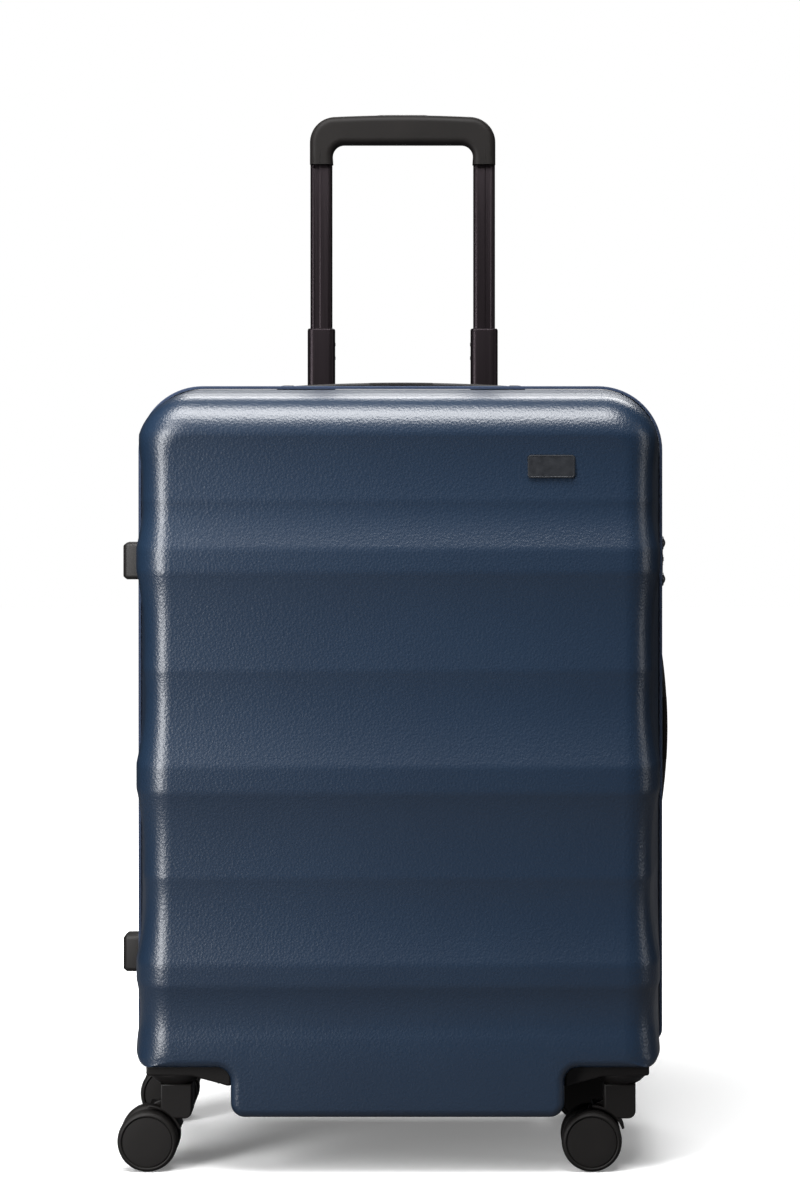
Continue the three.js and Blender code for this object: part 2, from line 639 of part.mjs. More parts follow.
function sideHandleGroup() {
  const group = new THREE.Group();
  const wall = sideWall(SIDE_HANDLE_Y - HANDLE_WIDTH / 2 - 2, ribHeight(CREST_BANDS[1][0]));
  group.position.set(wall + FIT + 1, SIDE_HANDLE_Y, SIDE_MIDDLE - SIDE_HANDLE_DROP);
  group.rotation.y = Math.PI / 2;
  return group;
}

// ---------- Side feet ----------

const FOOT_INNER = -(HALF_WIDTH - draftAt(FOOT_Y - FOOT_WIDTH / 2) + FIT);
const footCentre = (band) => ribHeight((band[0] + band[1]) / 2) - 7;
function sideFoot(band) {
  const outline = roundedRect(FOOT_WIDTH, FOOT_HEIGHT, FOOT_CORNER);
  const block = slabAlongX(outline, FOOT_INNER - FOOT_PROUD, FOOT_INNER, 3);
  return block.translate(0, FOOT_Y, footCentre(band));
}

// ---------- Pull handle ----------

const BEZEL_TOP = BEZEL_UNDER + BEZEL_THICKNESS;
const JOINT_TOP = BEZEL_TOP - 1 + MIDDLE_SHOWN; // top of the middle tubes
const LEG_END = JOINT_TOP + UPPER_SHOWN; // where the grip meets the upper tubes
const tubeOutline = ([width, depth]) => roundedRect(width, depth, Math.min(width, depth) * 0.3);

function tube(size, z0, z1) {
  const shape = tubeOutline(size);
  shape.holes.push(new THREE.Path(tubeOutline(size.map((outer) => outer - 2 * TUBE_WALL)).getPoints(2)));
  return slabUp(shape, z0, z1, 2);
}

// The grip: a U with a crowned bar, legs that stand on the tubes, and plugs inside them.
function gripGeometry() {
  const outer = TUBE_SPACING / 2 + GRIP_LEG_WIDTH / 2;
  const inner = TUBE_SPACING / 2 - GRIP_LEG_WIDTH / 2;
  const top = LEG_END + GRIP_HEIGHT - GRIP_CROWN;
  const under = LEG_END + GRIP_HEIGHT - GRIP_BAR;
  const shape = new THREE.Shape();
  shape.moveTo(outer, LEG_END);
  shape.lineTo(outer, top - GRIP_OUTER_RADIUS);
  shape.absarc(outer - GRIP_OUTER_RADIUS, top - GRIP_OUTER_RADIUS, GRIP_OUTER_RADIUS, 0, Math.PI / 2);
  shape.quadraticCurveTo(0, top + 2 * GRIP_CROWN, GRIP_OUTER_RADIUS - outer, top);
  shape.absarc(GRIP_OUTER_RADIUS - outer, top - GRIP_OUTER_RADIUS, GRIP_OUTER_RADIUS, Math.PI / 2, Math.PI);
  shape.lineTo(-outer, LEG_END);
  shape.lineTo(-inner, LEG_END);
  const innerX = inner - GRIP_INNER_RADIUS;
  const innerZ = under - GRIP_INNER_RADIUS;
  shape.absarc(-innerX, innerZ, GRIP_INNER_RADIUS, Math.PI, Math.PI / 2, true);
  shape.absarc(innerX, innerZ, GRIP_INNER_RADIUS, Math.PI / 2, 0, true);
  shape.lineTo(inner, LEG_END);
  shape.closePath();
  const arch = new THREE.ExtrudeGeometry(shape, {
    depth: GRIP_DEPTH - 2 * GRIP_ROUNDING,
    bevelThickness: GRIP_ROUNDING,
    bevelSize: GRIP_ROUNDING,
    bevelOffset: -GRIP_ROUNDING,
    bevelSegments: 2,
    curveSegments: 4,
  }).translate(0, 0, -GRIP_DEPTH / 2 + GRIP_ROUNDING).rotateX(Math.PI / 2).translate(0, TROLLEY_Y, 0);
  const plugSize = UPPER_TUBE.map((size) => size - 2 * (TUBE_WALL + FIT));
  const plugs = Object.values(TUBE_XS).map((x) =>
    slabUp(tubeOutline(plugSize), LEG_END - PLUG_LENGTH, LEG_END + 8).translate(x, TROLLEY_Y, 0));
  const crown = LEG_END + GRIP_HEIGHT;
  const pocket = slabUp(roundedRect(BUTTON_LENGTH + 2 * FIT, BUTTON_WIDTH + 2 * FIT, BUTTON_WIDTH / 2),
    crown - BUTTON_DEPTH - BUTTON_TRAVEL, crown + 5).translate(0, TROLLEY_Y, 0);
  return cut(join(arch, ...plugs), pocket);
}

const gripButton = () => slabUp(
  roundedRect(BUTTON_LENGTH, BUTTON_WIDTH, BUTTON_WIDTH / 2 - FIT),
  LEG_END + GRIP_HEIGHT - BUTTON_DEPTH + 0.6, LEG_END + GRIP_HEIGHT + BUTTON_PROUD,
).translate(0, TROLLEY_Y, 0);

function bezelGeometry() {
  const width = TUBE_SPACING + OUTER_TUBE[0] + 2 * BEZEL_MARGIN;
  const plate = slabUp(roundedRect(width, OUTER_TUBE[1] + BEZEL_MARGIN, 8), BEZEL_UNDER, BEZEL_TOP);
  const collars = Object.values(TUBE_XS).map((x) =>
    box(OUTER_TUBE[0] + 1, OUTER_TUBE[1] + 1, COLLAR_DEPTH + 1, x, 0, BEZEL_UNDER - COLLAR_DEPTH / 2 + 0.5));
  const throat = MIDDLE_TUBE.map((size) => size + 2 * SLIDE);
  const holes = Object.values(TUBE_XS).map((x) =>
    slabUp(tubeOutline(throat), BEZEL_UNDER - 30, BEZEL_TOP + 10).translate(x, 0, 0));
  return cut(join(plate, ...collars), ...holes).translate(0, TROLLEY_Y, 0);
}

const BRACKET_BOTTOM = BAY_ROOF + SHELL_WALL + FIT + 2;
function baseBracket() {
  const width = TUBE_SPACING + OUTER_TUBE[0] + 4 * BRACKET_WALL;
  const depth = OUTER_TUBE[1] + 2 * FIT + 2 * BRACKET_WALL;
  const body = box(width, depth, BRACKET_HEIGHT, 0, 0, BRACKET_BOTTOM + BRACKET_HEIGHT / 2);
  const sockets = Object.values(TUBE_XS).map((x) => box(
    OUTER_TUBE[0] + 2 * FIT, OUTER_TUBE[1] + 2 * FIT, BRACKET_HEIGHT, x, 0, BRACKET_BOTTOM + BRACKET_HEIGHT));
  return cut(body, ...sockets).translate(0, TROLLEY_Y, 0);
}
const OUTER_BOTTOM = BRACKET_BOTTOM + BRACKET_HEIGHT / 2 + FIT;

// ---------- Linings, divider and packing straps ----------

const LINING_HALF = HALF_WIDTH - SHELL_WALL - SIDE_RIB_DEPTH - LINING_SIDE_GAP;
const LINING_TOP = CASE_TOP - SHELL_WALL - LINING_TOP_GAP;
const LINING_BOTTOM = BAY_ROOF + SHELL_WALL + LINING_BOTTOM_GAP;
const FRONT_LINING_DEPTH = HALF_DEPTH - LINING_FACE_GAP;
const REAR_LINING_DEPTH = TROLLEY_Y - OUTER_TUBE[1] / 2 - BRACKET_WALL - FIT - 1.5;

// A slab with rounded corners and a rounded rim, from the parting plane to a depth, less a wall all round.
function traySolid(depth, less) {
  const [width, height] = [2 * (LINING_HALF - less), LINING_TOP - LINING_BOTTOM - 2 * less];
  const round = LINING_FILLET - less;
  const slab = new THREE.ExtrudeGeometry(roundedRect(width, height, LINING_CORNER - less), {
    depth,
    bevelThickness: round,
    bevelSize: round,
    bevelOffset: -round,
    bevelSegments: 2,
    curveSegments: 3,
  });
  slab.rotateX(-Math.PI / 2).translate(0, -less - round, (LINING_TOP + LINING_BOTTOM) / 2);
  return slab;
}

// A lining lies in its shell like an open tray.
function liningTray(side, depth) {
  const mouth = span(-CASE_WIDTH, CASE_WIDTH, -CASE_DEPTH, LINING_START, -CASE_TOP, 2 * CASE_TOP);
  const tray = cut(traySolid(depth, 0), traySolid(depth, LINING_WALL), mouth);
  return side > 0 ? tray : tray.rotateZ(Math.PI);
}

const divider = () => slabAlongY(
  roundedRect(2 * (LINING_HALF - LINING_WALL - 1.5), LINING_TOP - LINING_BOTTOM - 2 * LINING_WALL - 3, 38),
  -DIVIDER_DEPTH, -DIVIDER_DEPTH + DIVIDER_THICKNESS,
).translate(0, 0, (LINING_TOP + LINING_BOTTOM) / 2);

// The packing strap runs from one side of the lining to the buckle in the middle.
function packingStrap(end) {
  const [near, far] = [BUCKLE_SIZE[0] / 2 + FIT, LINING_HALF - LINING_WALL - 1];
  const [x0, x1] = end > 0 ? [near, far] : [-far, -near];
  return span(x0, x1, STRAP_DEPTH, STRAP_DEPTH + STRAP_THICKNESS, SIDE_MIDDLE - STRAP_WIDTH / 2,
    SIDE_MIDDLE + STRAP_WIDTH / 2);
}

const BUCKLE_Y = STRAP_DEPTH + STRAP_THICKNESS / 2;
const buckle = () => slabAlongY(
  roundedRect(BUCKLE_SIZE[0], BUCKLE_SIZE[1], 6),
  BUCKLE_Y - BUCKLE_SIZE[2] / 2, BUCKLE_Y + BUCKLE_SIZE[2] / 2,
).translate(0, 0, SIDE_MIDDLE);

// ---------- Casters ----------
// Each is drawn about its swivel axis, with its wheels trailing to -X.

const HOUSING_TOP = BAY_ROOF - FIT;
const BOSS_BOTTOM = BAY_ROOF - HOUSING_DROP;
const HOUSING_OUTER = HALF_WIDTH - SHELL_DRAFT - CASTER_X - 8; // plate beyond the swivel axis
const HOUSING_INNER = CASTER_X - SKIRT_HALF_WIDTH - FIT; // plate towards the skirt

// The housing: a plate under the bay roof, thicker towards the skirt, with the swivel boss.
// toSkirt is 1 or -1.
function housing(toSkirt) {
  const shape = new THREE.Shape();
  shape.moveTo(-HOUSING_OUTER, HOUSING_TOP);
  shape.lineTo(-HOUSING_OUTER, HOUSING_TOP - HOUSING_PLATE);
  shape.lineTo(BOSS_RADIUS - 2, HOUSING_TOP - HOUSING_PLATE - 2);
  shape.lineTo(HOUSING_INNER - 3, BOSS_BOTTOM);
  shape.lineTo(HOUSING_INNER, BOSS_BOTTOM);
  const bend = BAY_RADIUS - FIT; // follows the corner between the bay roof and the skirt
  shape.absarc(HOUSING_INNER - bend, HOUSING_TOP - bend, bend, 0, Math.PI / 2);
  shape.closePath();
  const plate = slabAlongY(shape, -BOSS_RADIUS, BOSS_RADIUS, BAY_STEPS / 2);
  if (toSkirt < 0) plate.rotateZ(Math.PI);
  const boss = new THREE.LatheGeometry([
    new THREE.Vector2(0, BOSS_BOTTOM),
    new THREE.Vector2(BOSS_FOOT_RADIUS, BOSS_BOTTOM),
    new THREE.Vector2(BOSS_RADIUS, BOSS_BOTTOM + 7),
    new THREE.Vector2(BOSS_RADIUS, HOUSING_TOP - 0.5),
    new THREE.Vector2(0, HOUSING_TOP - 0.5),
  ], 20).rotateX(Math.PI / 2);
  const bore = rodZ(KINGPIN_RADIUS + FIT, 30, 16, 0, 0, HOUSING_TOP - 4 - 15);
  return cut(join(plate, boss), bore);
}

// The fork: kingpin, stem and the web between the wheels, cleared for the wheels and the axle.
function forkGeometry() {
  const stem = new THREE.Shape();
  const [left, right, top] = [-FORK_WIDTH / 2, FORK_WIDTH / 2, BOSS_BOTTOM - FIT];
  stem.moveTo(left, top);
  stem.lineTo(left, FORK_BOTTOM);
  stem.lineTo(right - 6, FORK_BOTTOM);
  stem.quadraticCurveTo(right, FORK_BOTTOM, right, FORK_BOTTOM + 6);
  stem.lineTo(right, top);
  stem.closePath();
  const arm = new THREE.Shape();
  arm.moveTo(left, FORK_BOTTOM + 14);
  arm.lineTo(-CASTER_TRAIL - 10, WHEEL_CENTRE + 12);
  arm.absarc(-CASTER_TRAIL, WHEEL_CENTRE, 10, 0.75 * Math.PI, 1.75 * Math.PI);
  arm.lineTo(right - 8, FORK_BOTTOM + 4);
  arm.lineTo(right - 4, FORK_BOTTOM + 14);
  arm.closePath();
  const stemBlock = cut(slabAlongY(stem, -FORK_WIDTH / 2, FORK_WIDTH / 2, 3),
    rodY(WHEEL_RADIUS + 1.5, 2 * FORK_WIDTH, 24, -CASTER_TRAIL, 0, WHEEL_CENTRE));
  const web = slabAlongY(arm, -WEB_THICKNESS / 2, WEB_THICKNESS / 2);
  const pinLength = HOUSING_DROP - 4 + 3;
  const pin = rodZ(KINGPIN_RADIUS, pinLength, 16, 0, 0, HOUSING_TOP - 4 - FIT - pinLength / 2);
  const bore = rodY(AXLE_RADIUS + FIT, 40, 16, -CASTER_TRAIL, 0, WHEEL_CENTRE);
  return cut(join(stemBlock, web, pin), bore);
}

// One wheel, outer face towards +Y, with a blind bore in its inner face.
function wheelGeometry() {
  const half = WHEEL_WIDTH / 2;
  const wheel = new THREE.LatheGeometry([
    new THREE.Vector2(0, half),
    new THREE.Vector2(WHEEL_RADIUS - 2, half),
    new THREE.Vector2(WHEEL_RADIUS, half - 2),
    new THREE.Vector2(WHEEL_RADIUS, 2 - half),
    new THREE.Vector2(WHEEL_RADIUS - 2, -half),
    new THREE.Vector2(AXLE_RADIUS + FIT, -half),
    new THREE.Vector2(AXLE_RADIUS + FIT, half - 3),
    new THREE.Vector2(0, half - 3),
  ].reverse(), WHEEL_FACETS);
  return wheel.rotateY(Math.PI / WHEEL_FACETS);
}

function caster(name, x, y, toSkirt) {
  const group = new THREE.Group();
  group.position.set(x, y, 0);
  group.add(part(name + "_caster_housing", housing(toSkirt), blackPlastic));
  group.add(part(name + "_caster_fork", forkGeometry(), blackPlastic));
  const axleHalf = WEB_THICKNESS / 2 + WHEEL_WIDTH - 3;
  const axle = part(name + "_caster_axle", rodY(AXLE_RADIUS, 2 * axleHalf, 16, 0, 0, 0), pinSteel);
  axle.position.set(-CASTER_TRAIL, 0, WHEEL_CENTRE);
  group.add(axle);
  const offset = WEB_THICKNESS / 2 + 1 + WHEEL_WIDTH / 2;
  for (const [label, side] of [["inner", -Math.sign(y)], ["outer", Math.sign(y)]]) {
    const wheel = part(name + "_" + label + "_wheel", wheelGeometry(), tyreRubber);
    wheel.position.set(-CASTER_TRAIL, side * offset, WHEEL_CENTRE);
    wheel.rotation.x = side > 0 ? 0 : Math.PI;
    group.add(wheel);
  }
  return group;
}

// ---------- Assembly ----------

const suitcase = new THREE.Group();

const rearHalf = new THREE.Group();
rearHalf.add(part("rear_shell", rearShell(), navyShell));
rearHalf.add(part("rear_zip_tape", zipTape(1), navyTape));
rearHalf.add(part("hinge_tape", hingeTape(), navyTape));
rearHalf.add(part("upper_zip_slider", zipSlider(1), darkMetal));
rearHalf.add(part("lower_zip_slider", zipSlider(-1), darkMetal));
rearHalf.add(part("rear_lining", liningTray(1, REAR_LINING_DEPTH), liningCloth));
rearHalf.add(part("left_packing_strap", packingStrap(-1), navyTape));
rearHalf.add(part("right_packing_strap", packingStrap(1), navyTape));
rearHalf.add(part("packing_strap_buckle", buckle(), blackPlastic));
rearHalf.add(part("upper_side_foot", sideFoot(CREST_BANDS[0]), blackPlastic));
rearHalf.add(part("lower_side_foot", sideFoot(CREST_BANDS[2]), blackPlastic));

rearHalf.add(part("lock_case", lockCase(), blackPlastic));
rearHalf.add(part("lock_button", lockButton(), darkMetal));
for (let i = 0; i < DIAL_COUNT; i += 1) {
  const dial = part("lock_dial_" + (i + 1), rodY(DIAL_RADIUS, DIAL_WIDTH, 20, 0, 0, 0), darkMetal);
  dial.position.set(DIAL_X, dialY(i), LOCK_CENTRE);
  rearHalf.add(dial);
}

const handles = [
  ["top", topHandleGroup(), TOP_HANDLE_LENGTH, TOP_HANDLE_RISE],
  ["side", sideHandleGroup(), SIDE_HANDLE_LENGTH, SIDE_HANDLE_RISE],
];
for (const [name, group, length, rise] of handles) {
  group.add(part(name + "_handle_strap", handleStrap(length, rise), blackPlastic));
  group.add(part(name + "_handle_cap_a", handleCap(length, -1), blackPlastic));
  group.add(part(name + "_handle_cap_b", handleCap(length, 1), blackPlastic));
  rearHalf.add(group);
}

const pullHandle = new THREE.Group();
pullHandle.add(part("trolley_bezel", bezelGeometry(), blackPlastic));
pullHandle.add(part("trolley_base_bracket", baseBracket(), blackPlastic));
pullHandle.add(part("trolley_grip", gripGeometry(), gripRubber));
pullHandle.add(part("grip_button", gripButton(), blackPlastic));
const tubes = [
  ["outer_tube", OUTER_TUBE, OUTER_BOTTOM, OUTER_TOP],
  ["middle_tube", MIDDLE_TUBE, JOINT_TOP - MIDDLE_LENGTH, JOINT_TOP],
  ["upper_tube", UPPER_TUBE, LEG_END - UPPER_LENGTH, LEG_END - FIT],
];
for (const [side, x] of Object.entries(TUBE_XS)) {
  for (const [name, size, z0, z1] of tubes) {
    const made = part(side + "_" + name, tube(size, z0, z1), tubeMetal);
    made.position.set(x, TROLLEY_Y, 0);
    pullHandle.add(made);
  }
}
rearHalf.add(pullHandle);

const frontHalf = new THREE.Group();
frontHalf.add(part("front_shell", frontShell(), navyShell));
frontHalf.add(part("front_zip_tape", zipTape(-1), navyTape));
frontHalf.add(part("badge", badge(), blackPlastic));
frontHalf.add(part("front_lining", liningTray(-1, FRONT_LINING_DEPTH), liningCloth));
frontHalf.add(part("divider_panel", divider(), liningCloth));

for (const [depthName, half, y] of [["front", frontHalf, -CASTER_Y], ["rear", rearHalf, CASTER_Y]]) {
  half.add(caster(depthName + "_left", -CASTER_X, y, 1));
  half.add(caster(depthName + "_right", CASTER_X, y, -1));
}

suitcase.add(rearHalf, frontHalf);
export default suitcase;
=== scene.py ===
import math

import bmesh
import bpy
import numpy as np
from bpy.props import FloatProperty, FloatVectorProperty, PointerProperty, StringProperty
from bpy.types import Operator, Panel, PropertyGroup
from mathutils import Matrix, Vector


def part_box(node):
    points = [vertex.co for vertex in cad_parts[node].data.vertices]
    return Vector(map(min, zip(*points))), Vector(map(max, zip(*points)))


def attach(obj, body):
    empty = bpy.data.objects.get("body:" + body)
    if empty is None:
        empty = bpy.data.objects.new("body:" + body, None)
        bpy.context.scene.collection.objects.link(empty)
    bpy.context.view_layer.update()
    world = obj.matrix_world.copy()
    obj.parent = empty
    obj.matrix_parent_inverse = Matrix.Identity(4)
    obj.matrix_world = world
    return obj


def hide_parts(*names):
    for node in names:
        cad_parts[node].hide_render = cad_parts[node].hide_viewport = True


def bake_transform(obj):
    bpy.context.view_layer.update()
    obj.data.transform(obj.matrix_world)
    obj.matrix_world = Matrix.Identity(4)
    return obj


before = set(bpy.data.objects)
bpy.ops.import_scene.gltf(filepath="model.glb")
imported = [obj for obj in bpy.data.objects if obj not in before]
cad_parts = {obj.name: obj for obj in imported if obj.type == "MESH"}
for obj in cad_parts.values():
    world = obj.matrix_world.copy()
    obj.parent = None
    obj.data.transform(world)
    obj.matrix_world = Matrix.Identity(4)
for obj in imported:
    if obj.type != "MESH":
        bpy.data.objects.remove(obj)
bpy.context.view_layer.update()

bl_info = {
    "name": "Ribbed Trolley Case",
    "version": (1, 0, 0),
    "blender": (4, 5, 0),
    "location": "View3D > Sidebar > Trolley Case",
    "description": "Builds a ribbed hard-shell trolley case round its mechanical frame",
    "category": "Add Mesh",
}

MM = 0.001
FIT = 0.3 * MM
CASTERS = [f"{depth}_{side}" for depth in ("front", "rear") for side in ("left", "right")]


# ---------- Colours and materials ----------

def linear(hex_colour):
    """An sRGB hex colour as linear RGBA: each channel c becomes ((c + 0.055) / 1.055) ** 2.4 above 0.04."""
    text = hex_colour.lstrip("#")
    channels = [int(text[i:i + 2], 16) / 255 for i in (0, 2, 4)]
    return tuple(c / 12.92 if c <= 0.04045 else ((c + 0.055) / 1.055) ** 2.4 for c in channels) + (1.0,)


def add_node(tree, kind, settings=None, inputs=None, **links):
    """Adds a node with its settings and its input values, and links named inputs from other sockets."""
    node = tree.nodes.new(kind)
    for key, value in (settings or {}).items():
        setattr(node, key, value)
    for key, value in (inputs or {}).items():
        node.inputs[key].default_value = value
    for key, socket in links.items():
        name = key.replace("_", " ")
        target = node.inputs[name] if name in node.inputs else node.inputs[int(key.lstrip("i"))]
        tree.links.new(socket, target)
    return node


def new_material(name, **values):
    """A material with one Principled shader, its values set on the shader's own sockets."""
    made = bpy.data.materials.new(name)
    made.use_nodes = True
    tree = made.node_tree
    shader = tree.nodes["Principled BSDF"]
    for key, value in values.items():
        shader.inputs[key.replace("_", " ")].default_value = value
    return made, tree, shader


def object_point(tree, scale=(1, 1, 1)):
    """Object coordinates through a Mapping node that stretches the pattern."""
    coordinates = add_node(tree, "ShaderNodeTexCoord")
    mapping = add_node(tree, "ShaderNodeMapping", inputs={"Scale": scale},
                       Vector=coordinates.outputs["Object"])
    return mapping.outputs["Vector"]


def per_mm(size):
    """A texture scale whose pattern repeats about every so many millimetres."""
    return 1.0 / (size * MM)


def tint(tree, shader, base, other, factor):
    """Mixes two colours by a factor socket and feeds the shader's base colour."""
    mix = add_node(tree, "ShaderNodeMix", {"data_type": "RGBA"})
    tree.links.new(factor, mix.inputs["Factor"])
    mix.inputs["A"].default_value = base
    mix.inputs["B"].default_value = other
    tree.links.new(mix.outputs["Result"], shader.inputs["Base Color"])


def roughness_range(tree, shader, factor, low, high):
    """Maps a 0 to 1 socket to a range of roughness."""
    spread = add_node(tree, "ShaderNodeMapRange", inputs={"To Min": low, "To Max": high}, Value=factor)
    tree.links.new(spread.outputs["Result"], shader.inputs["Roughness"])


def bump(tree, shader, height, distance, strength=1.0, under=None):
    """A bump of so many millimetres; it can lie over another bump."""
    made = add_node(tree, "ShaderNodeBump", inputs={"Distance": distance * MM, "Strength": strength},
                    Height=height)
    if under is not None:
        tree.links.new(under, made.inputs["Normal"])
    tree.links.new(made.outputs["Normal"], shader.inputs["Normal"])
    return made.outputs["Normal"]


def vacuum_formed_polycarbonate(colours):
    """Polycarbonate sheet, vacuum formed over a textured mould: a fine matte grain that breaks highlights
    into a soft glow, with a faint broad unevenness of the formed sheet. The real grain is about half a
    millimetre; it is drawn at two so that it shows."""
    made, tree, shader = new_material(
        "vacuum_formed_polycarbonate", Roughness=0.4, IOR=1.585, Coat_Weight=0.12, Coat_Roughness=0.32)
    point = object_point(tree)
    grain = add_node(tree, "ShaderNodeTexNoise",
                     inputs={"Scale": per_mm(1.5), "Detail": 3.0, "Roughness": 0.65},
                     Vector=point)
    pebbles = add_node(tree, "ShaderNodeTexVoronoi", inputs={"Scale": per_mm(2.2)}, Vector=point)
    sheet = add_node(tree, "ShaderNodeTexNoise", inputs={"Scale": per_mm(140), "Detail": 2.0}, Vector=point)
    tint(tree, shader, linear(colours.shell_dark), linear(colours.shell_light), sheet.outputs["Fac"])
    roughness_range(tree, shader, grain.outputs["Fac"], 0.27, 0.4)
    low = bump(tree, shader, pebbles.outputs["Distance"], 0.16)
    bump(tree, shader, grain.outputs["Fac"], 0.12, under=low)
    return made


def satin_badge(colours):
    """Painted zinc badge plate: a smooth satin that holds one soft highlight along its bevel."""
    made, tree, shader = new_material("satin_badge", Metallic=0.4, Roughness=0.3)
    point = object_point(tree)
    haze = add_node(tree, "ShaderNodeTexNoise", inputs={"Scale": per_mm(6), "Detail": 3.0}, Vector=point)
    tint(tree, shader, linear(colours.badge), linear(colours.gunmetal), haze.outputs["Fac"])
    roughness_range(tree, shader, haze.outputs["Fac"], 0.26, 0.4)
    return made


def spark_eroded_nylon(colours):
    """Black glass-filled nylon from a spark-eroded mould: a dry satin with a pebbled grain."""
    made, tree, shader = new_material("spark_eroded_nylon", Roughness=0.5, IOR=1.53, Specular_IOR_Level=0.3)
    point = object_point(tree)
    grain = add_node(tree, "ShaderNodeTexNoise", inputs={"Scale": per_mm(0.9), "Detail": 3.0}, Vector=point)
    flow = add_node(tree, "ShaderNodeTexNoise", inputs={"Scale": per_mm(30), "Detail": 2.0}, Vector=point)
    tint(tree, shader, linear(colours.black_plastic), linear(colours.black_plastic_light),
         flow.outputs["Fac"])
    roughness_range(tree, shader, grain.outputs["Fac"], 0.42, 0.6)
    bump(tree, shader, grain.outputs["Fac"], 0.04)
    return made


def soft_touch_grip(colours):
    """Soft-touch coated ABS: a velvety black that shows broad, dim highlights."""
    made, tree, shader = new_material(
        "soft_touch_grip", Roughness=0.55, IOR=1.45, Specular_IOR_Level=0.18)
    point = object_point(tree)
    grain = add_node(tree, "ShaderNodeTexNoise", inputs={"Scale": per_mm(0.7), "Detail": 2.0}, Vector=point)
    wear = add_node(tree, "ShaderNodeTexNoise", inputs={"Scale": per_mm(45), "Detail": 3.0}, Vector=point)
    tint(tree, shader, linear(colours.grip), linear(colours.black_plastic_light), wear.outputs["Fac"])
    roughness_range(tree, shader, wear.outputs["Fac"], 0.5, 0.62)
    bump(tree, shader, grain.outputs["Fac"], 0.03)
    return made


def anodised_aluminium(colours):
    """Extruded aluminium tube, dyed brown-black when anodised: fine draw lines along its
    length stretch each highlight into a long soft stripe."""
    made, tree, shader = new_material(
        "anodised_aluminium", Metallic=0.85, Roughness=0.34, Anisotropic=0.4)
    streaks = object_point(tree, (1, 1, 0.004))
    lines = add_node(tree, "ShaderNodeTexNoise", inputs={"Scale": per_mm(0.5), "Detail": 3.0}, Vector=streaks)
    tint(tree, shader, linear(colours.tube), linear(colours.tube_light), lines.outputs["Fac"])
    roughness_range(tree, shader, lines.outputs["Fac"], 0.28, 0.42)
    bump(tree, shader, lines.outputs["Fac"], 0.012)
    return made


def woven_polyester(name, dark, light, thread, sheen):
    """Plain-woven polyester: two crossed waves a thread apart raise the yarns, and fibre
    noise breaks their colour, so the cloth reads dull with a faint sheen at grazing angles."""
    made, tree, shader = new_material(
        name, Roughness=0.85, IOR=1.46, Sheen_Weight=sheen, Sheen_Roughness=0.45)
    point = object_point(tree)
    settings = {"wave_type": "BANDS", "wave_profile": "SIN"}
    scale = {"Scale": per_mm(thread) / 20, "Distortion": 0.6, "Detail": 1.0}
    warp = add_node(tree, "ShaderNodeTexWave", {**settings, "bands_direction": "X"}, scale, Vector=point)
    weft = add_node(tree, "ShaderNodeTexWave", {**settings, "bands_direction": "Z"}, scale, Vector=point)
    across = add_node(tree, "ShaderNodeTexWave", {**settings, "bands_direction": "Y"}, scale, Vector=point)
    crossed = add_node(tree, "ShaderNodeMath", {"operation": "MULTIPLY"}, None,
                       i0=warp.outputs["Fac"], i1=weft.outputs["Fac"])
    yarns = add_node(tree, "ShaderNodeMath", {"operation": "MAXIMUM"}, None,
                     i0=crossed.outputs["Value"], i1=across.outputs["Fac"])
    fibres = add_node(tree, "ShaderNodeTexNoise", inputs={"Scale": per_mm(2.5), "Detail": 4.0}, Vector=point)
    tint(tree, shader, dark, light, fibres.outputs["Fac"])
    bump(tree, shader, yarns.outputs["Value"], 0.15)
    return made


def moulded_polyurethane(colours):
    """Cast polyurethane tread: matt black, faintly scuffed where it rolls."""
    made, tree, shader = new_material("moulded_polyurethane", Roughness=0.6, IOR=1.5, Specular_IOR_Level=0.25)
    point = object_point(tree)
    scuffs = add_node(tree, "ShaderNodeTexNoise",
                      inputs={"Scale": per_mm(5), "Detail": 5.0, "Roughness": 0.7},
                      Vector=point)
    tint(tree, shader, linear(colours.wheel), linear(colours.wheel_scuffed), scuffs.outputs["Fac"])
    roughness_range(tree, shader, scuffs.outputs["Fac"], 0.5, 0.72)
    bump(tree, shader, scuffs.outputs["Fac"], 0.05)
    return made


def die_cast_zinc(colours):
    """Zinc die casting with a gunmetal plating: smooth and dark, with small crisp highlights."""
    made, tree, shader = new_material("die_cast_zinc", Metallic=0.9, Roughness=0.3)
    point = object_point(tree)
    cloud = add_node(tree, "ShaderNodeTexNoise", inputs={"Scale": per_mm(3), "Detail": 3.0}, Vector=point)
    tint(tree, shader, linear(colours.gunmetal), linear(colours.gunmetal_light), cloud.outputs["Fac"])
    roughness_range(tree, shader, cloud.outputs["Fac"], 0.24, 0.4)
    return made


def ground_steel(colours):
    """A centreless-ground steel pin: bright, with fine rings round it."""
    made, tree, shader = new_material("ground_steel", Metallic=1.0, Roughness=0.25)
    rings = object_point(tree, (0.02, 1, 0.02))
    lines = add_node(tree, "ShaderNodeTexNoise", inputs={"Scale": per_mm(0.4), "Detail": 2.0}, Vector=rings)
    tint(tree, shader, linear(colours.steel), linear(colours.steel_light), lines.outputs["Fac"])
    roughness_range(tree, shader, lines.outputs["Fac"], 0.2, 0.35)
    return made


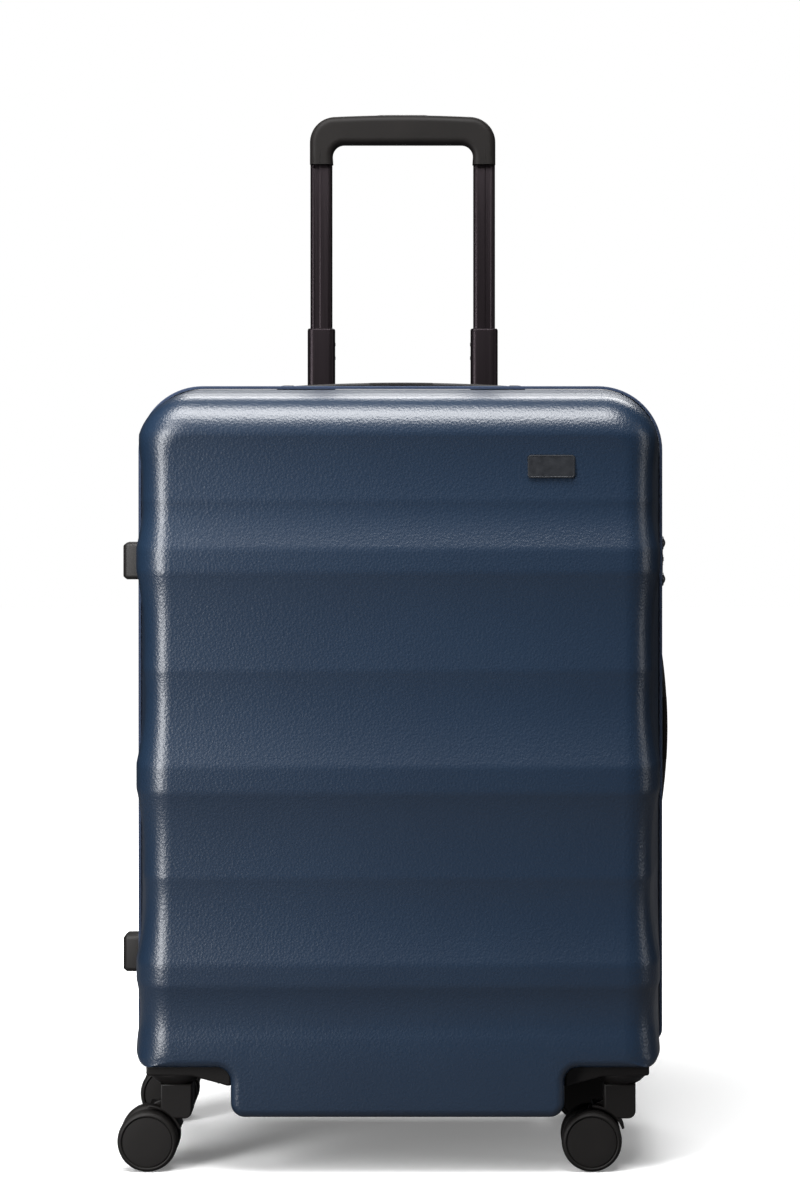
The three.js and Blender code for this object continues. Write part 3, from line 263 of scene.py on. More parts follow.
def studio_paper(colours):
    """Matt white background paper with a painted glow: it emits its own light, weakly near the middle and
    more strongly further out, so that it looks white; it stays dim to the light that bounces off it."""
    made, tree, shader = new_material("studio_paper", Roughness=0.9, IOR=1.4)
    shader.inputs["Specular IOR Level"].default_value = 0.1
    shader.inputs["Emission Color"].default_value = linear(colours.paper)
    point = object_point(tree)
    reach = add_node(tree, "ShaderNodeVectorMath", {"operation": "LENGTH"}, None, i0=point)
    # Painted glow: the paper's emission strength rises with distance from the middle, from 0.2 to 1.15.
    painted_glow = add_node(tree, "ShaderNodeMapRange", {"interpolation_type": "SMOOTHSTEP"},
                    {"From Min": 0.25, "From Max": 1.2, "To Min": 0.2, "To Max": 1.15},
                    Value=reach.outputs["Value"])
    tree.links.new(painted_glow.outputs["Result"], shader.inputs["Emission Strength"])
    pulp = add_node(tree, "ShaderNodeTexNoise", inputs={"Scale": per_mm(3), "Detail": 4.0}, Vector=point)
    tint(tree, shader, linear(colours.paper), linear(colours.paper_light), pulp.outputs["Fac"])
    dim = add_node(tree, "ShaderNodeBsdfDiffuse", inputs={"Color": linear(colours.paper_bounce)})
    path = tree.nodes.new("ShaderNodeLightPath")
    mix = add_node(tree, "ShaderNodeMixShader", i0=path.outputs["Is Camera Ray"], i1=dim.outputs["BSDF"],
                   i2=shader.outputs["BSDF"])
    tree.links.new(mix.outputs["Shader"], tree.nodes["Material Output"].inputs["Surface"])
    return made


MATERIALS = {}


def make_materials(colours):
    """Every finish of the case, by a short name."""
    MATERIALS.update(
        shell=vacuum_formed_polycarbonate(colours),
        badge=satin_badge(colours),
        nylon=spark_eroded_nylon(colours),
        grip=soft_touch_grip(colours),
        tube=anodised_aluminium(colours),
        tape=woven_polyester("woven_zip_tape", linear(colours.tape), linear(colours.tape_light), 0.9, 0.15),
        lining=woven_polyester("woven_lining", linear(colours.lining), linear(colours.lining_light), 1.4,
                               0.25),
        wheel=moulded_polyurethane(colours),
        zinc=die_cast_zinc(colours),
        joint=spark_eroded_nylon(colours),
        teeth=die_cast_zinc(colours),
        steel=ground_steel(colours),
        paper=studio_paper(colours),
    )


# ---------- Shapes: numpy vertices with faces ----------

def turned_out(vertices, faces):
    """A closed shape with its faces pointing outwards: the signed volume of its fans decides."""
    vertices = np.asarray(vertices, float)
    total = 0.0
    for size in {len(face) for face in faces}:
        loops = vertices[np.array([face for face in faces if len(face) == size])] - vertices.mean(0)
        total += np.einsum("ij,ikj->", loops[:, 0], np.cross(loops[:, 1:-1], loops[:, 2:]))
    return (vertices, faces) if total > 0 else (vertices, [face[::-1] for face in faces])


def combined(*shapes):
    """Several shapes as one."""
    vertices = np.concatenate([shape[0] for shape in shapes])
    starts = np.cumsum([0] + [len(shape[0]) for shape in shapes])
    faces = [[v + first for v in face] for shape, first in zip(shapes, starts) for face in shape[1]]
    return vertices, faces


def ring_quads(rings, around, closed=False):
    """Quads between each ring of points and the next, and round each ring to its start."""
    r, k = np.meshgrid(np.arange(rings if closed else rings - 1), np.arange(around), indexing="ij")
    after, beyond = (k + 1) % around, (r + 1) % rings
    quads = np.stack([r * around + k, r * around + after, beyond * around + after, beyond * around + k], -1)
    return quads.reshape(-1, 4).tolist()


def lofted(rings, closed=False):
    """A skin over a stack of rings. An open stack is capped at both ends; a closed one comes back to its
    start."""
    rings = np.asarray(rings)
    count, around = rings.shape[:2]
    faces = ring_quads(count, around, closed)
    if not closed:
        faces.append(list(range(around))[::-1])
        faces.append(list(range((count - 1) * around, count * around)))
    return turned_out(rings.reshape(-1, 3), faces)


def arc(across, up, radius, start, end, steps):
    """Points on a circle from one angle to another, in degrees, ends included."""
    angles = np.radians(np.linspace(start, end, steps + 1))
    return np.stack([across + radius * np.cos(angles), up + radius * np.sin(angles)], -1)


def rounded(width, height, radius, steps=6):
    """A rectangle round zero whose corners are quarter circles, anticlockwise from the right."""
    w, h = width / 2 - radius, height / 2 - radius
    return np.concatenate([arc(w, h, radius, 0, 90, steps), arc(-w, h, radius, 90, 180, steps),
                           arc(-w, -h, radius, 180, 270, steps), arc(w, -h, radius, 270, 360, steps)])


def drawn_in(outline, amount):
    """A closed outline moved inwards: each point goes along the mean of its two edges' normals,
    by amount over the cosine of half the turn there, so that every edge moves by amount."""
    ahead = np.roll(outline, -1, 0) - outline
    ahead = ahead / np.maximum(np.linalg.norm(ahead, axis=1, keepdims=True), 1e-12)
    behind = np.roll(ahead, 1, 0)
    normal = np.stack([-(ahead + behind)[:, 1], (ahead + behind)[:, 0]], -1)
    normal /= np.maximum(np.linalg.norm(normal, axis=1, keepdims=True), 1e-12)
    cosine = np.abs(np.einsum("ij,ij->i", normal, np.stack([-ahead[:, 1], ahead[:, 0]], -1)))
    x, y = outline.T
    area = np.sum(x * np.roll(y, -1) - np.roll(x, -1) * y)
    return outline + np.sign(area) * normal * (amount / np.maximum(cosine, 0.5))[:, None]


def placed(points, axes, level):
    """Two-dimensional points put in space along two named axes, at a level along the third."""
    along = ({"x", "y", "z"} - set(axes)).pop()
    out = np.zeros(points.shape[:-1] + (3,))
    out[..., "xyz".index(axes[0])] = points[..., 0]
    out[..., "xyz".index(axes[1])] = points[..., 1]
    out[..., "xyz".index(along)] = level
    return out


def slab(outline, axes, low, high, edge, steps=4, centre=(0, 0)):
    """An outline carried from low to high, with quarter-round rims: near each end it draws in by
    edge * (1 - cos a) while it climbs edge * (1 - sin a). A last ring just inside keeps the end flat."""
    outline = np.asarray(outline) + np.asarray(centre)
    angles = np.linspace(0, math.pi / 2, steps + 1)
    inset = np.concatenate([[edge * 1.15], edge * (1 - np.sin(angles))])
    climb = np.concatenate([[0], edge * (1 - np.cos(angles))])
    lower = [placed(drawn_in(outline, i), axes, low + c) for i, c in zip(inset, climb)]
    upper = [placed(drawn_in(outline, i), axes, high - c) for i, c in zip(inset[::-1], climb[::-1])]
    return lofted(lower + upper)


def block(size, centre, axes, radius, edge, steps=4):
    """A rounded box: size and radius in two named axes, thickness along the third, with quarter-round
    rims."""
    along = "xyz".index(({"x", "y", "z"} - set(axes)).pop())
    middle = [centre["xyz".index(a)] for a in axes]
    half = size[2] / 2
    return slab(rounded(size[0], size[1], radius), axes, centre[along] - half, centre[along] + half, edge,
                steps,
                middle)


def turning(profile, centre, axis, steps=48, ridges=0, ridge_depth=0.0):
    """A profile of (radius, distance along the axis) points spun round an axis, from the axis and back to it.
    Its rim can carry ridges: the radius then falls by ridge_depth * (1 + cos(ridges * angle)) / 2."""
    profile = np.asarray(profile, float)
    angles = np.linspace(0, 2 * math.pi, steps, endpoint=False)
    first, second = [i for i in range(3) if i != "xyz".index(axis)]
    body = profile[1:-1]
    outermost = body[:, 0].max()
    radius = np.repeat(body[:, :1], steps, 1)
    radius = radius - np.where(radius > outermost * 0.93, ridge_depth, 0) * (1 + np.cos(ridges * angles)) / 2
    rings = np.zeros((len(body), steps, 3))
    rings[..., first] = radius * np.cos(angles)
    rings[..., second] = radius * np.sin(angles)
    rings[..., "xyz".index(axis)] = body[:, 1:]
    poles = np.zeros((2, 3))
    poles[:, "xyz".index(axis)] = profile[[0, -1], 1]
    k = np.arange(steps)
    after, count, last = (k + 1) % steps, len(body) * steps, (len(body) - 1) * steps
    faces = ring_quads(len(body), steps)
    faces += np.stack([np.full(steps, count), after, k], -1).tolist()
    faces += np.stack([np.full(steps, count + 1), last + k, last + after], -1).tolist()
    vertices = np.concatenate([rings.reshape(-1, 3), poles]) + np.asarray(centre)
    return turned_out(vertices, faces)


def swept(path, side, section):
    """A closed section carried along an open path. side is a unit vector across the path at each point,
    and the section's second axis is the path's direction crossed with it."""
    path, section = np.asarray(path, float), np.asarray(section)
    tangent = np.gradient(path, axis=0)
    tangent /= np.linalg.norm(tangent, axis=1, keepdims=True)
    side = np.broadcast_to(np.asarray(side, float), path.shape)
    up = np.cross(tangent, side)
    rings = path[:, None] + section[None, :, :1] * side[:, None] + section[None, :, 1:] * up[:, None]
    return lofted(rings)


def piece(name, shape, material, body, replaced=(), sharp=42):
    """Puts a shape into a mesh object that rides on a body. Edges sharper than an angle stay crisp."""
    mesh = bpy.data.meshes.new(name)
    mesh.from_pydata(np.asarray(shape[0]).tolist(), [], shape[1])
    mesh.update()
    mesh.shade_smooth()
    mesh.set_sharp_from_angle(angle=math.radians(sharp))
    mesh.materials.append(MATERIALS[material])
    made = bpy.data.objects.new(name, mesh)
    bpy.context.collection.objects.link(made)
    if body:
        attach(made, body)
    if replaced:
        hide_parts(*([replaced] if isinstance(replaced, str) else replaced))
    return made


def carved(made, *tools):
    """Cuts closed shapes out of a piece with Boolean modifiers, and keeps the mesh that results. The
    piece's large faces are split into triangles first, because a bent face with a bay in it would cut
    wrongly."""
    split = bmesh.new()
    split.from_mesh(made.data)
    bmesh.ops.triangulate(split, faces=[face for face in split.faces if len(face.verts) > 4])
    split.to_mesh(made.data)
    split.free()
    cutters = []
    for i, shape in enumerate(tools):
        mesh = bpy.data.meshes.new(f"cutter_{i}")
        mesh.from_pydata(np.asarray(shape[0]).tolist(), [], shape[1])
        cutter = bpy.data.objects.new(f"cutter_{i}", mesh)
        bpy.context.collection.objects.link(cutter)
        modifier = made.modifiers.new(f"cut_{i}", "BOOLEAN")
        modifier.operation, modifier.solver, modifier.object = "DIFFERENCE", "EXACT", cutter
        cutters.append(cutter)
    bpy.context.view_layer.update()
    result = bpy.data.meshes.new_from_object(made.evaluated_get(bpy.context.evaluated_depsgraph_get()))
    if len(result.polygons) < 6:
        raise RuntimeError(f"{made.name}: the cuts left nothing")
    made.modifiers.clear()
    made.data = result
    result.set_sharp_from_angle(angle=math.radians(42))
    for cutter in cutters:
        bpy.data.objects.remove(cutter)
    return made


def corners(node):
    """A CAD node's box as two arrays: its lowest and its highest corner."""
    low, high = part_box(node)
    return np.array(low), np.array(high)


def middle(node):
    """The middle of a CAD node's box."""
    low, high = corners(node)
    return (low + high) / 2


# ---------- The case's form ----------

class Form:
    """The half shell's outlines and its rib profile, in metres, worked out from the shell's CAD box and the
    sizes."""

    def __init__(self, sizes):
        low, high = corners("rear_shell")
        self.sizes = sizes
        self.face, self.rim = high[1], low[1]
        lean = sizes.draft * self.rim / self.face
        self.half, self.top, self.foot = high[0] + lean, high[2] + lean, low[2]
        self.roof = sizes.bay_roof
        self.shoulder = self.top - sizes.draft - sizes.top_fillet
        self.skirt = self.half - sizes.skirt_inset
        self.knots = self.rib_knots()

    def height(self, share):
        """A height given as a share of the way from the bay roof up to the shoulder."""
        return self.roof + share * (self.shoulder - self.roof)

    def rib_knots(self):
        """Knots of the rib profile from the top down: height, inset, and slope above and below, the insets
        as shares of the rib depth. At a crest band the skin bows out; at a ridge the slope breaks to fall
        in again."""
        slope = self.sizes.crest_slope / MM
        fall = self.sizes.ridge_slope / MM
        bands = ((0.82, 0.782), (0.476, 0.434), (0.164, 0.129))
        ridges = ((0.896, 0.72), (0.627, 0.86), (0.299, 0.86), (0.073, 0.5))
        knots = [(self.top, 0, 0, 0), (self.shoulder, 0, 0, slope * 1.2)]
        for i, (share, inset) in enumerate(ridges):
            lowest = i == len(ridges) - 1
            knots.append((self.height(share), inset, -fall * 0.35, 0 if lowest else fall))
            if not lowest:
                upper, lower = bands[i]
                knots.append((self.height(upper), 0, -slope * 1.15, -slope * 0.9))
                knots.append((self.height(lower), 0, slope * 0.35, slope * 1.2))
        knots.append((self.roof + self.sizes.bottom_fillet + 0.004, 0, 0, 0))
        return np.array(knots)

    def inset(self, z):
        """Share of the rib depth at heights z: between two knots a cubic Hermite curve,
        (2t^3 - 3t^2 + 1) a + (t^3 - 2t^2 + t) drop a' + (3t^2 - 2t^3) b + (t^3 - t^2) drop b'."""
        z = np.asarray(z, float)
        heights, values, above, below = self.knots.T
        i = np.clip(np.searchsorted(-heights, -z, side="right"), 1, len(heights) - 1)
        drop = heights[i - 1] - heights[i]
        t = np.clip((heights[i - 1] - z) / drop, 0, 1)
        curve = (2 * t**3 - 3 * t**2 + 1) * values[i - 1] + (t**3 - 2 * t**2 + t) * below[i - 1] * drop
        curve = curve + (3 * t**2 - 2 * t**3) * values[i] + (t**3 - t**2) * above[i] * drop
        return np.where(z >= heights[1], 0, np.maximum(curve, -0.02))

    def levels(self):
        """Heights of the rows on the side walls: every knot, and even steps of about 3 mm between them."""
        inner = self.knots[2:-1, 0]
        stops = np.concatenate([[self.top - self.sizes.top_corner - 0.0065], inner, [inner[-1] - 0.016]])
        parts = [np.linspace(a, b, max(3, int((a - b) / 0.0027)), endpoint=False)
                 for a, b in zip(stops[:-1], stops[1:])]
        return np.concatenate(parts + [stops[-1:]])

    def half_outline(self, half, top, corner, roof, foot, bottom_corner, skirt, bay_inner, bay_outer):
        """Half an outline from the middle of the top, round the left side, to the middle of the bottom:
        columns of x, z and the wall's fillet. A straight top, a corner arc, the side's levels, the bottom
        corner, the bay roof, the concave arc, the skirt's side, its convex corner and the skirt's
        underside."""
        s = self.sizes
        quarter = math.pi / 2
        rows = []

        def bend(cx, cz, radius, start, end, steps, fillet_start, fillet_end):
            share = np.linspace(0, 1, steps + 1)[1:]
            angle = start + (end - start) * share
            fillet = fillet_start + (fillet_end - fillet_start) * share
            rows.append(np.stack([cx + radius * np.cos(angle), cz + radius * np.sin(angle), fillet], -1))

        def line(x0, z0, x1, z1, steps, fillet):
            share = np.linspace(0, 1, steps + 1)[1:]
            rows.append(np.stack([x0 + (x1 - x0) * share, z0 + (z1 - z0) * share, np.full(steps, fillet)],
                                 -1))

        flat_end, turn = half - corner, half - bottom_corner
        rows.append(np.array([[0, top, s.top_fillet]]))
        line(0, top, flat_end, top, TOP_STEPS, s.top_fillet)
        bend(flat_end, top - corner, corner, quarter, 0, 2 * CORNER_STEPS, s.top_fillet, s.side_fillet)
        levels = self.levels()
        rows.append(np.stack([np.full(len(levels), half), levels, np.full(len(levels), s.side_fillet)], -1))
        rows.append(np.array([[half, roof + bottom_corner, s.side_fillet]]))
        bend(turn, roof + bottom_corner, bottom_corner, 0, -quarter, 2 * LOW_STEPS, s.side_fillet,
             s.bottom_fillet)
        line(turn, roof, skirt + bay_inner, roof, ROOF_STEPS, s.bottom_fillet)
        low = s.bottom_fillet
        bend(skirt + bay_inner, roof - bay_inner, bay_inner, quarter, 2 * quarter, BAY_STEPS, low, low)
        line(skirt, roof - bay_inner, skirt, foot + bay_outer, SKIRT_STEPS, low)
        bend(skirt - bay_outer, foot + bay_outer, bay_outer, 0, -quarter, BAY_STEPS, low, low)
        line(skirt - bay_outer, foot, 0, foot, FOOT_STEPS, low)
        points = np.concatenate(rows)
        return points * (-1, 1, 1)

    def outline(self, **shape):
        """The whole loop, left half first, as columns of x, z, fillet, x and z without the bays, and
        how far each point faces sideways: the share of its neighbours' step that is vertical."""
        half = self.half_outline(**shape)
        loop = np.concatenate([half, half[-2:0:-1] * (-1, 1, 1)])
        x, z, fillet = loop.T
        drop = np.maximum(0, (shape["roof"] - z) / (shape["roof"] - shape["foot"]))
        step = np.roll(loop, -1, 0)[:, :2] - np.roll(loop, 1, 0)[:, :2]
        sideways = np.abs(step[:, 1]) / np.linalg.norm(step, axis=1)
        return np.stack([x, z, fillet, x * (1 - 0.08 * drop), np.maximum(z, shape["roof"]), sideways], -1)

    def wall(self, lean):
        """The wall's outline where it has leaned in by lean."""
        s = self.sizes
        return self.outline(half=self.half - lean, top=self.top - lean, corner=s.top_corner - lean,
                            roof=self.roof,
                            foot=self.foot, bottom_corner=s.bottom_corner, skirt=self.skirt,
                            bay_inner=s.bay_radius, bay_outer=s.bay_radius)

    def face_edge(self):
        """The outline of the face, where the fillets end."""
        s = self.sizes
        return self.outline(half=self.half - s.draft - s.side_fillet, top=self.shoulder,
                            corner=s.top_corner - s.draft - s.side_fillet, roof=self.roof + s.bottom_fillet,
                            foot=self.foot + s.bottom_fillet, bottom_corner=s.bottom_corner / 2,
                            skirt=self.skirt - s.bottom_fillet, bay_inner=s.bay_radius + s.bottom_fillet,
                            bay_outer=s.bay_radius - s.bottom_fillet)

    def displaced(self, x, z, depth, facing, sideways):
        """Skin points moved in by the ribs: sideways by the side rib depth, faded in from the rim by a
        smooth step, times the cosine of facing; and in depth by the face rib depth times its sine."""
        s = self.sizes
        inset = self.inset(z)
        t = np.clip(depth / s.rib_fade, 0, 1)
        across = s.side_rib * inset * t * t * (3 - 2 * t) * math.cos(facing) * sideways
        return np.stack([x - np.sign(x) * across, depth - s.face_rib * inset * math.sin(facing), z], -1)

    def rings(self):
        """The skin's rings from the rim to the edge of the face: the drafted wall, with the skirt dropping
        smoothly out of the straight rim, then the fillet, a quarter turn from the wall to the face."""
        s = self.sizes
        start, end, edge = self.wall(0), self.wall(s.draft), self.face_edge()
        out = []
        run = self.face - end[:, 2] - s.skirt_full

        def wall_ring(depth, dropped):
            share = (np.broadcast_to(depth, end.shape[:1]) / self.face)[:, None]
            x, z, _, flat_x, flat_z, sideways = (start + (end - start) * share).T
            x, z = flat_x + (x - flat_x) * dropped, flat_z + (z - flat_z) * dropped
            out.append(self.displaced(x, z, np.broadcast_to(depth, x.shape), 0, sideways))

        for depth in np.linspace(self.rim, s.skirt_start, 4):
            wall_ring(depth, 0)
        for t in np.linspace(0, 1, 9)[1:]:
            wall_ring(s.skirt_start + (s.skirt_full - s.skirt_start) * t, t)
        for t in np.linspace(0, 1, 8)[1:-1]:
            wall_ring(s.skirt_full + run * t, 1)
        for facing in np.linspace(0, math.pi / 2, 15):
            blended = end + (edge - end) * (1 - math.cos(facing))
            depth = self.face - end[:, 2] * (1 - math.sin(facing))
            out.append(self.displaced(blended[:, 0], blended[:, 1], depth, facing, end[:, 5] + 0 * depth))
        return np.array(out), edge

    def skin(self):
        """The outer skin: the rings, then the face as level rows between its edges. Above the highest level
        and below the lowest, rows fan out to the face's own edge as straight blends, so no rib runs
        askew."""
        rings, edge = self.rings()
        count, loop = rings.shape[:2]
        wide = 2 * TOP_MIDDLE
        levels = len(self.levels())
        rows = CORNER_STEPS + levels + 1 + LOW_STEPS
        last = rings[-1][:, [0, 2]]
        i, j = np.arange(wide + 1), np.arange(rows + 1)
        top = last[(TOP_MIDDLE - i) % loop]
        bottom = last[(TOP_MIDDLE + rows + i) % loop]
        left, right = last[TOP_MIDDLE + j], last[loop - TOP_MIDDLE - j]
        columns = edge[(TOP_MIDDLE + rows + i) % loop, 3]
        columns = columns / columns[-1] * right[rows // 2, 0]
        grid = np.zeros((rows + 1, wide + 1, 2))
        grid[..., 0] = columns
        grid[..., 1] = left[:, None, 1]
        share = np.linspace(0, 1, wide + 1)[None, :, None]

        def fan(rows_used, outer, v):
            inner = grid[rows_used[-1]] if outer is top else grid[rows_used[0]]
            first, second = (outer, inner) if outer is top else (inner, outer)
            patch = first * (1 - v) + second * v
            patch += (1 - share) * (left[rows_used][:, None] - patch[:, :1])
            patch += share * (right[rows_used][:, None] - patch[:, -1:])
            grid[rows_used] = patch

        high = CORNER_STEPS + 1
        low = CORNER_STEPS + levels
        fan(np.arange(0, high + 1), top, np.linspace(0, 1, high + 1)[:, None, None])
        fan(np.arange(low, rows + 1), bottom, np.linspace(0, 1, rows - low + 1)[:, None, None])
        inner = grid[1:-1, 1:-1].reshape(-1, 2)
        depth = self.face - self.sizes.face_rib * self.inset(inner[:, 1])
        face_points = np.stack([inner[:, 0], depth, inner[:, 1]], -1)
        index = np.zeros((rows + 1, wide + 1), int)
        base = (count - 1) * loop
        index[1:-1, 1:-1] = count * loop + np.arange(len(inner)).reshape(rows - 1, wide - 1)
        index[0], index[-1] = base + (TOP_MIDDLE - i) % loop, base + (TOP_MIDDLE + rows + i) % loop
        index[:, 0], index[:, -1] = base + TOP_MIDDLE + j, base + loop - TOP_MIDDLE - j
        quads = np.stack([index[:-1, :-1], index[1:, :-1], index[1:, 1:], index[:-1, 1:]], -1).reshape(-1, 4)
        walls = np.array(ring_quads(count, loop))
        vertices = np.concatenate([rings.reshape(-1, 3), face_points])
        return vertices, np.concatenate([walls, quads]), loop

    def shell(self, side):
        """A closed half shell: the skin, a copy of it moved in along its normals by the wall, and the rim
        between."""
        vertices, quads, loop = self.skin()
        a, b, c, d = (vertices[quads[:, k]] for k in range(4))
        facing = np.cross(c - a, d - b)
        normals = np.zeros_like(vertices)
        for k in range(4):
            np.add.at(normals, quads[:, k], facing)
        normals /= np.maximum(np.linalg.norm(normals, axis=1, keepdims=True), 1e-12)
        if normals[-len(vertices) // 4:, 1].mean() < 0:
            normals = -normals
        inner = vertices - normals * self.sizes.wall
        inner[:loop, 1] = vertices[:loop, 1]
        count = len(vertices)
        k = np.arange(loop)
        after = (k + 1) % loop
        rim = np.stack([k, k + count, after + count, after], -1)
        faces = np.concatenate([quads, quads[:, ::-1] + count, rim])
        return turned_out(np.concatenate([vertices, inner]) * (1, side, 1), faces.tolist())

    def rim_loop(self, grown, steps=10):
        """The rim's outline grown by a distance: a tall rectangle with large top corners and small bottom
        ones."""
        s = self.sizes
        half, top, roof = self.half + grown, self.top + grown, self.roof - grown
        upper, lower = s.top_corner + grown, s.bottom_corner + grown
        return np.concatenate([
            arc(half - upper, top - upper, upper, 0, 90, 2 * steps),
            arc(upper - half, top - upper, upper, 90, 180, 2 * steps),
            arc(lower - half, roof + lower, lower, 180, 270, steps),
            arc(half - lower, roof + lower, lower, 270, 360, steps)])

    def rim_band(self, section):
        """A closed section of (growth, depth) points swept round the rim."""
        return lofted([placed(self.rim_loop(grown), "xz", depth) for grown, depth in section], closed=True)

    def rim_walk(self, grown, pitch, offset=0.0):
        """Evenly spaced points round the rim with their directions and outward normals."""
        loop = self.rim_loop(grown, 24)
        step = np.roll(loop, -1, 0) - loop
        far = np.concatenate([[0], np.cumsum(np.linalg.norm(step, axis=1))])
        closed = np.concatenate([loop, loop[:1]])
        at = (np.arange(int(far[-1] / pitch)) + offset) * (far[-1] / int(far[-1] / pitch))
        points = np.stack([np.interp(at, far, closed[:, 0]), np.interp(at, far, closed[:, 1])], -1)
        tangent = np.roll(points, -1, 0) - np.roll(points, 1, 0)
        tangent /= np.linalg.norm(tangent, axis=1, keepdims=True)
        return points, tangent, np.stack([tangent[:, 1], -tangent[:, 0]], -1)


TOP_STEPS, CORNER_STEPS, LOW_STEPS, ROOF_STEPS, BAY_STEPS, SKIRT_STEPS = 38, 8, 3, 6, 8, 4
TOP_MIDDLE = TOP_STEPS + CORNER_STEPS
FOOT_STEPS = TOP_MIDDLE - LOW_STEPS - ROOF_STEPS - 2 * BAY_STEPS - SKIRT_STEPS


# ---------- Pieces ----------

def build_shells(case):
    """Both half shells, with the holes for the lock and the pull handle, and the badge's pocket."""
    form = Form(case.sizes)
    rear = piece("rear_half_shell", form.shell(1), "shell", "rear_case", "rear_shell", sharp=34)
    low, high = corners("lock_case")
    gap = np.array((FIT, FIT, FIT))
    tools = [cuboid(low - gap, high + gap + (0.01, 0, 0))]
    for side in ("left", "right"):
        low, high = corners(side + "_outer_tube")
        tools.append(cuboid((low[0] - 0.8 * MM, low[1] - 0.8 * MM, form.top - 0.03),
                            (high[0] + 0.8 * MM, high[1] + 0.8 * MM, form.top + 0.01)))
    carved(rear, *tools)
    front = piece("front_half_shell", form.shell(-1), "shell", "front_case", "front_shell",
                  sharp=34)
    low, high = corners("badge")
    size = high - low + 2 * FIT
    carved(front, slab(rounded(size[0], size[2], 3 * MM), "xz", low[1] - 0.004, high[1] + FIT, 0.0001, 1,
                       middle("badge")[[0, 2]]))


def cuboid(low, high):
    """A plain box between two corners."""
    low, high = np.asarray(low), np.asarray(high)
    size = high - low
    return lofted([placed(np.array([(0, 0), (size[0], 0), (size[0], size[1]), (0, size[1])]) + low[:2], "xy",
                          z)
                   for z in (low[2], high[2])])


def build_zip_bands(case):
    """The woven zip tapes round both rims: a flat band with two stitch grooves and a piped edge,
    and a chain of coil teeth at the parting plane, half a pitch apart from one side to the other."""
    form = Form(case.sizes)
    for name, body, side in (("front", "front_case", -1), ("rear", "rear_case", 1)):
        low, high = corners(name + "_zip_tape")
        width = max(abs(low[1]), abs(high[1]))
        outside = high[0] - form.half
        across = np.linspace(0, 1, 28)
        stitch = sum(np.exp(-((across * width - at) / 0.0004) ** 2) for at in (0.0042, 0.0078))
        top = np.stack([outside - 0.00025 * stitch, FIT + (width - FIT) * across], -1)
        section = np.concatenate([top, [[outside - 0.0015, width], [outside - 0.0015, FIT]]]) * (1, side)
        band = piece(name + "_zip_tape_cloth", form.rim_band(section), "tape", body,
                     name + "_zip_tape")
        cord = arc(outside - 0.0002, width - 0.0011, 0.00115, 0, 360, 12)[:-1] * (1, side)
        piece(name + "_zip_piping", form.rim_band(cord), "tape", body)
        points, tangent, normal = form.rim_walk(outside, 0.0026, 0.0 if side > 0 else 0.5)
        corner = np.array([(t, g, y) for y in (0.2, 1.0, 1.9)
                           for g, t in ((-0.2, -0.85), (0.75, -0.6), (0.75, 0.6),
                                                                         (-0.2, 0.85))]) * MM
        corner[4:8, 1] += 0.35 * MM * (corner[4:8, 1] > 0)
        place = (points[:, None] + corner[None, :, :1] * tangent[:, None]
                 + corner[None, :, 1:2] * normal[:, None])
        vertices = np.stack([place[..., 0], np.broadcast_to(corner[:, 2] * side, place.shape[:2]),
                             place[..., 1]], -1)
        one = turned_out(vertices[0], ring_quads(3, 4) + [[3, 2, 1, 0], [8, 9, 10, 11]])[1]
        starts = np.arange(len(points)) * 12
        faces = [[v + first for v in face] for first in starts.tolist() for face in one]
        piece(name + "_zip_teeth", (vertices.reshape(-1, 3), faces), "teeth", body)


def build_hinge_cloth(case):
    """The tape that joins the halves along the left side: a thin strip with a soft wave and rolled hems."""
    low, high = corners("hinge_tape")
    u, v = np.linspace(-1, 1, 29), np.linspace(0, 1, 161)
    y, z = np.meshgrid(u * (high[1] - low[1]) / 2, low[2] + v * (high[2] - low[2]))
    hem = 0.0004 * np.exp(-((np.abs(y) - 0.012) / 0.001) ** 2)
    wave = 0.00025 * np.sin(z * 160) * np.cos(y * 90)
    thick = (high[0] - low[0]) * 0.75
    front = np.stack([low[0] + thick + hem + wave, y, z], -1)
    back = np.stack([low[0] + 0 * y + wave, y, z], -1)
    made = piece("hinge_tape_cloth", doubled(front, back), "tape", None, "hinge_tape")
    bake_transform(made)


def doubled(front, back):
    """Two grids of points, one behind the other, closed round their edges."""
    rows, columns = front.shape[:2]
    index = np.arange(rows * columns).reshape(rows, columns)
    quads = np.stack([index[:-1, :-1], index[:-1, 1:], index[1:, 1:], index[1:, :-1]], -1).reshape(-1, 4)
    edge = np.concatenate([index[0, :-1], index[:-1, -1], index[-1, :0:-1], index[:0:-1, 0]])
    after = np.roll(edge, -1)
    count = rows * columns
    rim = np.stack([edge, edge + count, after + count, after], -1)
    vertices = np.concatenate([front.reshape(-1, 3), back.reshape(-1, 3)])
    return turned_out(vertices, np.concatenate([quads, quads[:, ::-1] + count, rim]).tolist())


def build_zip_sliders(case):
    """Zip sliders: a cast body with a bridge over it, and a pull that lies over into the lock."""
    for name in ("upper_zip_slider", "lower_zip_slider"):
        low, high = corners(name)
        size = high - low
        x, z = low[0], (low[2] + high[2]) / 2
        body = block((0.010, size[2], 0.0022), (x + 0.0011, 0, z), "yz", 0.0032, 0.0008)
        bridge_path = np.stack([x + 0.0016 + 0.0018 * np.sin(np.linspace(0, math.pi, 15)), np.zeros(15),
                                z + np.linspace(-0.0042, 0.0042, 15)], -1)
        bridge = swept(bridge_path, (0, 1, 0), rounded(0.0032, 0.0011, 0.0004, 3))
        plate = slab(rounded(size[1] - 0.0062, 0.005, 0.0018), "yz", x + 0.0014, x + 0.0028, 0.0005, 3,
                     (high[1] - (size[1] - 0.0062) / 2, z))
        piece(name + "_casting", combined(body, bridge), "zinc", name, name)
        carved(piece(name + "_pull", plate, "zinc", name),
               slab(rounded(0.0028, 0.0026, 0.0009), "yz", x + 0.0002, x + 0.006, 0.0001, 1,
                          (high[1] - 0.0028, z)))


